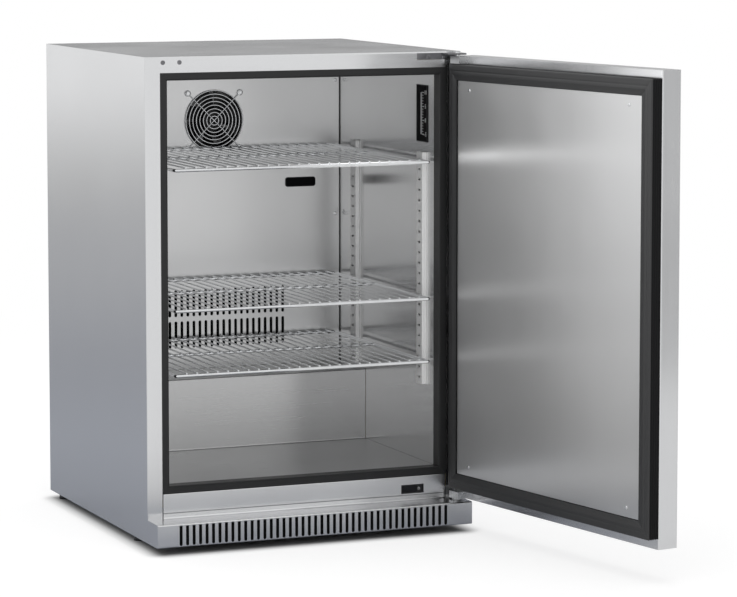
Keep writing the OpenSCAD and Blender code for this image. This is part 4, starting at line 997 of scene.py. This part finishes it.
class StudioSettings(bpy.types.PropertyGroup):
    sky: share("Room light", "Even light from all round", 0.72, 0, 2)
    key_power: setting("Overhead lamp", "Power of the large lamp overhead", 34.0, 0, 500,
                       unit="POWER")
    fill_power: setting("Front lamp", "Power of the lamp at the front left", 10.0, 0, 500,
                        unit="POWER")
    floor_tone: share("Floor", "Paleness of the floor", 0.42)
    floor_lift: share("Floor glow", "Light of the floor's own", 0.66)
    near_floor: share(
        "Near floor in steel", "Tone that the steel shows of the floor close by", 0.37)
    back_screen: share("Rear screen", "Tone of the screen that the top reflects", 0.18)
    side_screen: share(
        "Side screen", "Tone of the screen that the door's edge reflects", 0.55)
    door_screen: share(
        "Door screen", "Tone of the screen that the inside of the door reflects", 1.0, 0, 3)


def seen_mask(tree):
    """1 for rays that come from the camera, from gloss or through glass, else 0."""
    path = add(tree, "LightPath").outputs
    either = calc(tree, "MAXIMUM", path["Is Camera Ray"], path["Is Glossy Ray"])
    return calc(tree, "MAXIMUM", either, path["Is Transmission Ray"])


def mixed(tree, part, one, other):
    values = {0: part, 1: one.outputs[0], 2: other.outputs[0]}
    return add(tree, "MixShader", values)


def stage_object(name, points, faces, material, in_gloss_only=True):
    obj = new_object(name, points, faces, material)
    if in_gloss_only:
        for rays in ("camera", "diffuse", "transmission", "volume_scatter", "shadow"):
            setattr(obj, "visible_" + rays, False)


def disc(radius, z, segments=96):
    t = round_angles(segments)
    points = np.stack([radius * np.cos(t), radius * np.sin(t), np.full(segments, z)], -1)
    return points.tolist(), [list(range(segments))]


def distance_from_middle(tree, place):
    return vector_calc(tree, "LENGTH", vector_calc(tree, "MULTIPLY", place, (1, 1, 0)))


def beyond_footprint(tree, place):
    """Distance from a rectangle within the plinth: length of (max(|x| - a, 0),
    max(|y| - b, 0))."""
    half_width = -CAD_BOUNDS[0].x - FOOTPRINT_INSET
    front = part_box("plinth_grille")[0].y + FOOTPRINT_INSET
    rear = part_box("rear_panel")[1].y - FOOTPRINT_INSET
    above_all = 10.0
    from_middle = vector_calc(tree, "SUBTRACT", place, (0, (front + rear) / 2, 0))
    over = vector_calc(tree, "SUBTRACT", vector_calc(tree, "ABSOLUTE", from_middle),
                       (half_width, (rear - front) / 2, above_all))
    return vector_calc(tree, "LENGTH", vector_calc(tree, "MAXIMUM", over))


def floor_material(tone, lift):
    """Pale floor that keeps shadows near the object and runs out into white; lift is light of its own, which fades
    out towards and under the plinth: a painted contact shadow round the footprint."""
    material, tree, place = bare_material("PaleFloor")
    near = add(tree, "BsdfDiffuse", {"Color": (tone, tone, tone, 1)})
    # The glow fades to nothing near and under the plinth: painted contact shadow.
    glow_outside_painted_contact_shade = spread(tree, beyond_footprint(tree, place), 0.0, lift, 0.0, 0.05, True)
    own_light = calc(tree, "MULTIPLY", seen_mask(tree), glow_outside_painted_contact_shade)
    glow = add(tree, "Emission", {"Strength": own_light})
    lit = add(tree, "AddShader", {0: near.outputs[0], 1: glow.outputs[0]})
    far = add(tree, "Emission", {"Strength": 1.0})
    away = spread(tree, distance_from_middle(tree, place), 0, 1, 1.5, 3.0, True)
    show(tree, mixed(tree, away, lit, far))
    return material


def floor_in_gloss(near_tone):
    """Floor as the steel shows it: grey close by, where it also takes shadows, and paler outwards; in front of the
    plinth it pales faster. The grey stands for a grey floor, and its deepening close to the object is painted
    shade seen in the steel."""
    material, tree, place = bare_material("FloorInGloss")
    away, front_line, lift = distance_from_middle(tree, place), -0.33, 1.3
    behind = calc(tree, "ADD", spread(tree, away, near_tone, 0.5, 0.3, 4.8, True),
                  spread(tree, away, 0.0, 0.5, 4.5, 15.0, True))
    x, y = along_axis(tree, place, "X"), along_axis(tree, place, "Y")
    ahead = calc(tree, "MAXIMUM", calc(tree, "MULTIPLY", y, -1.0),
                 calc(tree, "MULTIPLY", x, -1.0))
    curve = add(tree, "FloatCurve", {"Value": spread(tree, ahead, 0.0, 1.0, 0.36, 2.6)})
    points = curve.mapping.curves[0].points
    points[0].location, points[1].location = (0.0, 0.35), (1.0, 0.94)
    for where in ((0.12, 0.44), (0.19, 0.6), (0.375, 0.74)):
        points.new(*where)
    curve.mapping.update()
    in_front = calc(tree, "LESS_THAN", y, front_line)
    tone = add(tree, "Mix", {"Factor": in_front, "A": behind,
                             "B": curve.outputs["Value"]}).outputs["Result"]
    hue = tint(tree, spread(tree, tone, 0, 1, 0.33, 0.6, True), (0.86, 0.9, 1.0), (1, 1, 1))
    lit = add(tree, "VectorMath", {0: hue, "Scale": tone}, operation="SCALE").outputs[0]
    glow = add(tree, "Emission", {"Color": lit, "Strength": 1.0})
    paler = add(tree, "VectorMath", {0: lit, "Scale": lift}, operation="SCALE").outputs[0]
    shaded = add(tree, "BsdfDiffuse", {"Color": paler})
    show(tree, mixed(tree, spread(tree, away, 0.0, 1, 1.0, 2.6, True), shaded, glow))
    return material


def card(name, ends, heights, tones, soft, one_sided=True):
    """Upright card between two points of the floor that only shows in gloss: its tone goes
    from tones[0] at heights[0] to tones[1] at heights[1], its upright edges fade over soft,
    and a one-sided card is clear from behind."""
    a, b = np.array(ends)
    half = np.linalg.norm(b - a) / 2
    middle, along = (a + b) / 2, (b - a) / (2 * half)
    material, tree, place = bare_material(name)
    from_middle = vector_calc(tree, "SUBTRACT", place, (*middle, 0))
    across = vector_calc(tree, "DOT_PRODUCT", from_middle, (*along, 0))
    shown = spread(tree, calc(tree, "ABSOLUTE", across), 1, 0, half - soft, half, True)
    if one_sided:
        behind = add(tree, "NewGeometry").outputs["Backfacing"]
        shown = calc(tree, "MULTIPLY", shown, calc(tree, "SUBTRACT", 1.0, behind))
    tone = spread(tree, along_axis(tree, place, "Z"), *tones, *heights)
    show(tree, mixed(tree, shown, add(tree, "BsdfTransparent"),
                     add(tree, "Emission", {"Strength": tone})))
    low, high = heights
    corners = [[*map(float, end), z] for end, z in ((a, low), (b, low), (b, high), (a, high))]
    stage_object(name, corners, [[0, 1, 2, 3]], material)


def set_cards(studio):
    """Cards that the top, the door's two sides and the opening are seen in, and glowing strips at the shelves'
    heights that paint highlight streaks on the door liner.
    """
    back, side, door = studio.back_screen, studio.side_screen, studio.door_screen
    card("rear_card", ((-0.6, 3.0), (5.0, 3.0)), (0.7, 2.6), (back, 0.6), 0.3, False)
    card("door_card", ((-0.95, -1.1), (-0.1, -0.33)), (0.002, 1.1), (0.5 * door, 1.9 * door),
         0.04)
    card("opening_card", ((0.298, -0.283), (-0.05, -0.283)), (0.1, 0.84), (0.86, 1.0), 0.05)
    # Glowing strips at each shelf's height in the opening: painted highlight streaks on the door liner, in place
    # of the shelves' reflections.
    for name, tone in (("shelf_top", 3.0), ("shelf_middle", 0.7), ("shelf_bottom", 0.6)):
        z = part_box(name)[0].z
        card(name + "_glint", ((-0.05, -0.276), (0.262, -0.276)), (z - 2 * MM, z + 14 * MM),
             (tone, tone), 0.12)
    card("side_card", ((1.5, -3.1), (2.9, -1.7)), (0.002, 3.0), (side, side), 0.4, False)


def add_lamp(name, at, target, size, power):
    """Round lamp that lights the object and isn't mirrored in it."""
    data = bpy.data.lights.new(name, "AREA")
    data.shape, data.size, data.energy = "DISK", size, power
    lamp = into_scene(name, data)
    lamp.location = at
    lamp.rotation_euler = (Vector(target) - Vector(at)).to_track_quat("-Z", "Y").to_euler()
    lamp.visible_camera = lamp.visible_glossy = False


def set_room(scene, sky):
    """Even light from all round, which shows as white."""
    world = bpy.data.worlds.new("Room")
    world.use_nodes = True
    tree = world.node_tree
    strength = spread(tree, seen_mask(tree), sky, 1.0)
    fill(tree, tree.nodes["Background"], {"Strength": strength, "Color": (1, 1, 1, 1)})
    scene.world = world


def set_camera(scene):
    lens = bpy.data.cameras.new("camera")
    lens.lens, lens.sensor_width, lens.shift_y, lens.clip_end = LENS, SENSOR, SHIFT, 200
    camera = into_scene("camera", lens)
    camera.location = CAMERA_AT
    camera.rotation_euler = (math.pi / 2 + CAMERA_PITCH, 0, CAMERA_YAW)
    scene.camera = camera


class REFRIGERATOR_OT_make_studio(bpy.types.Operator):
    """Set the floor, the lamps, the room light and the camera"""

    bl_idname = "refrigerator.make_studio"
    bl_label = "Studio"

    def execute(self, context):
        studio = context.scene.refrigerator_studio
        stage_object("floor", *disc(FLOOR_RADIUS, 0.0),
                     floor_material(studio.floor_tone, studio.floor_lift), False)
        stage_object("floor_cloth", *disc(CLOTH_RADIUS, CLOTH_HEIGHT),
                     floor_in_gloss(studio.near_floor))
        set_cards(studio)
        add_lamp("overhead", (-0.3, -0.4, 3.4), (0, 0, 0.3), 3.2, studio.key_power)
        add_lamp("front_left", (-3.0, -3.6, 2.2), (0, 0, 0.5), 2.0, studio.fill_power)
        set_room(context.scene, studio.sky)
        set_camera(context.scene)
        context.scene.view_settings.view_transform = "Standard"
        return {"FINISHED"}


# ---- Panel ----

STEPS = (
    REFRIGERATOR_OT_finish_nodes,
    REFRIGERATOR_OT_make_seal,
    REFRIGERATOR_OT_make_fan,
    REFRIGERATOR_OT_make_welds,
    REFRIGERATOR_OT_make_plates,
    REFRIGERATOR_OT_make_mats,
    REFRIGERATOR_OT_make_studio,
)
SETTINGS = {
    "refrigerator_finish": FinishSettings,
    "refrigerator_seal": SealSettings,
    "refrigerator_fan": FanSettings,
    "refrigerator_shelf": ShelfSettings,
    "refrigerator_plate": PlateSettings,
    "refrigerator_mat": MatSettings,
    "refrigerator_studio": StudioSettings,
}


class REFRIGERATOR_PT_pieces(bpy.types.Panel):
    """Lists the refrigerator's settings and steps"""

    bl_label = "Undercounter Refrigerator"
    bl_space_type = "VIEW_3D"
    bl_region_type = "UI"
    bl_category = "Refrigerator"

    def draw(self, context):
        for key in SETTINGS:
            settings = getattr(context.scene, key)
            box = self.layout.box()
            for prop in settings.bl_rna.properties:
                if prop.identifier not in ("rna_type", "name"):
                    box.prop(settings, prop.identifier)
        for step in STEPS:
            self.layout.operator(step.bl_idname)


CLASSES = (*SETTINGS.values(), *STEPS, REFRIGERATOR_PT_pieces)


def register():
    for cls in CLASSES:
        bpy.utils.register_class(cls)
    for key, cls in SETTINGS.items():
        setattr(bpy.types.Scene, key, bpy.props.PointerProperty(type=cls))


def unregister():
    for key in SETTINGS:
        delattr(bpy.types.Scene, key)
    for cls in reversed(CLASSES):
        bpy.utils.unregister_class(cls)


def main():
    register()
    for step in STEPS:
        family, name = step.bl_idname.split(".")
        getattr(getattr(bpy.ops, family), name)()


if __name__ == "__main__":
    main()
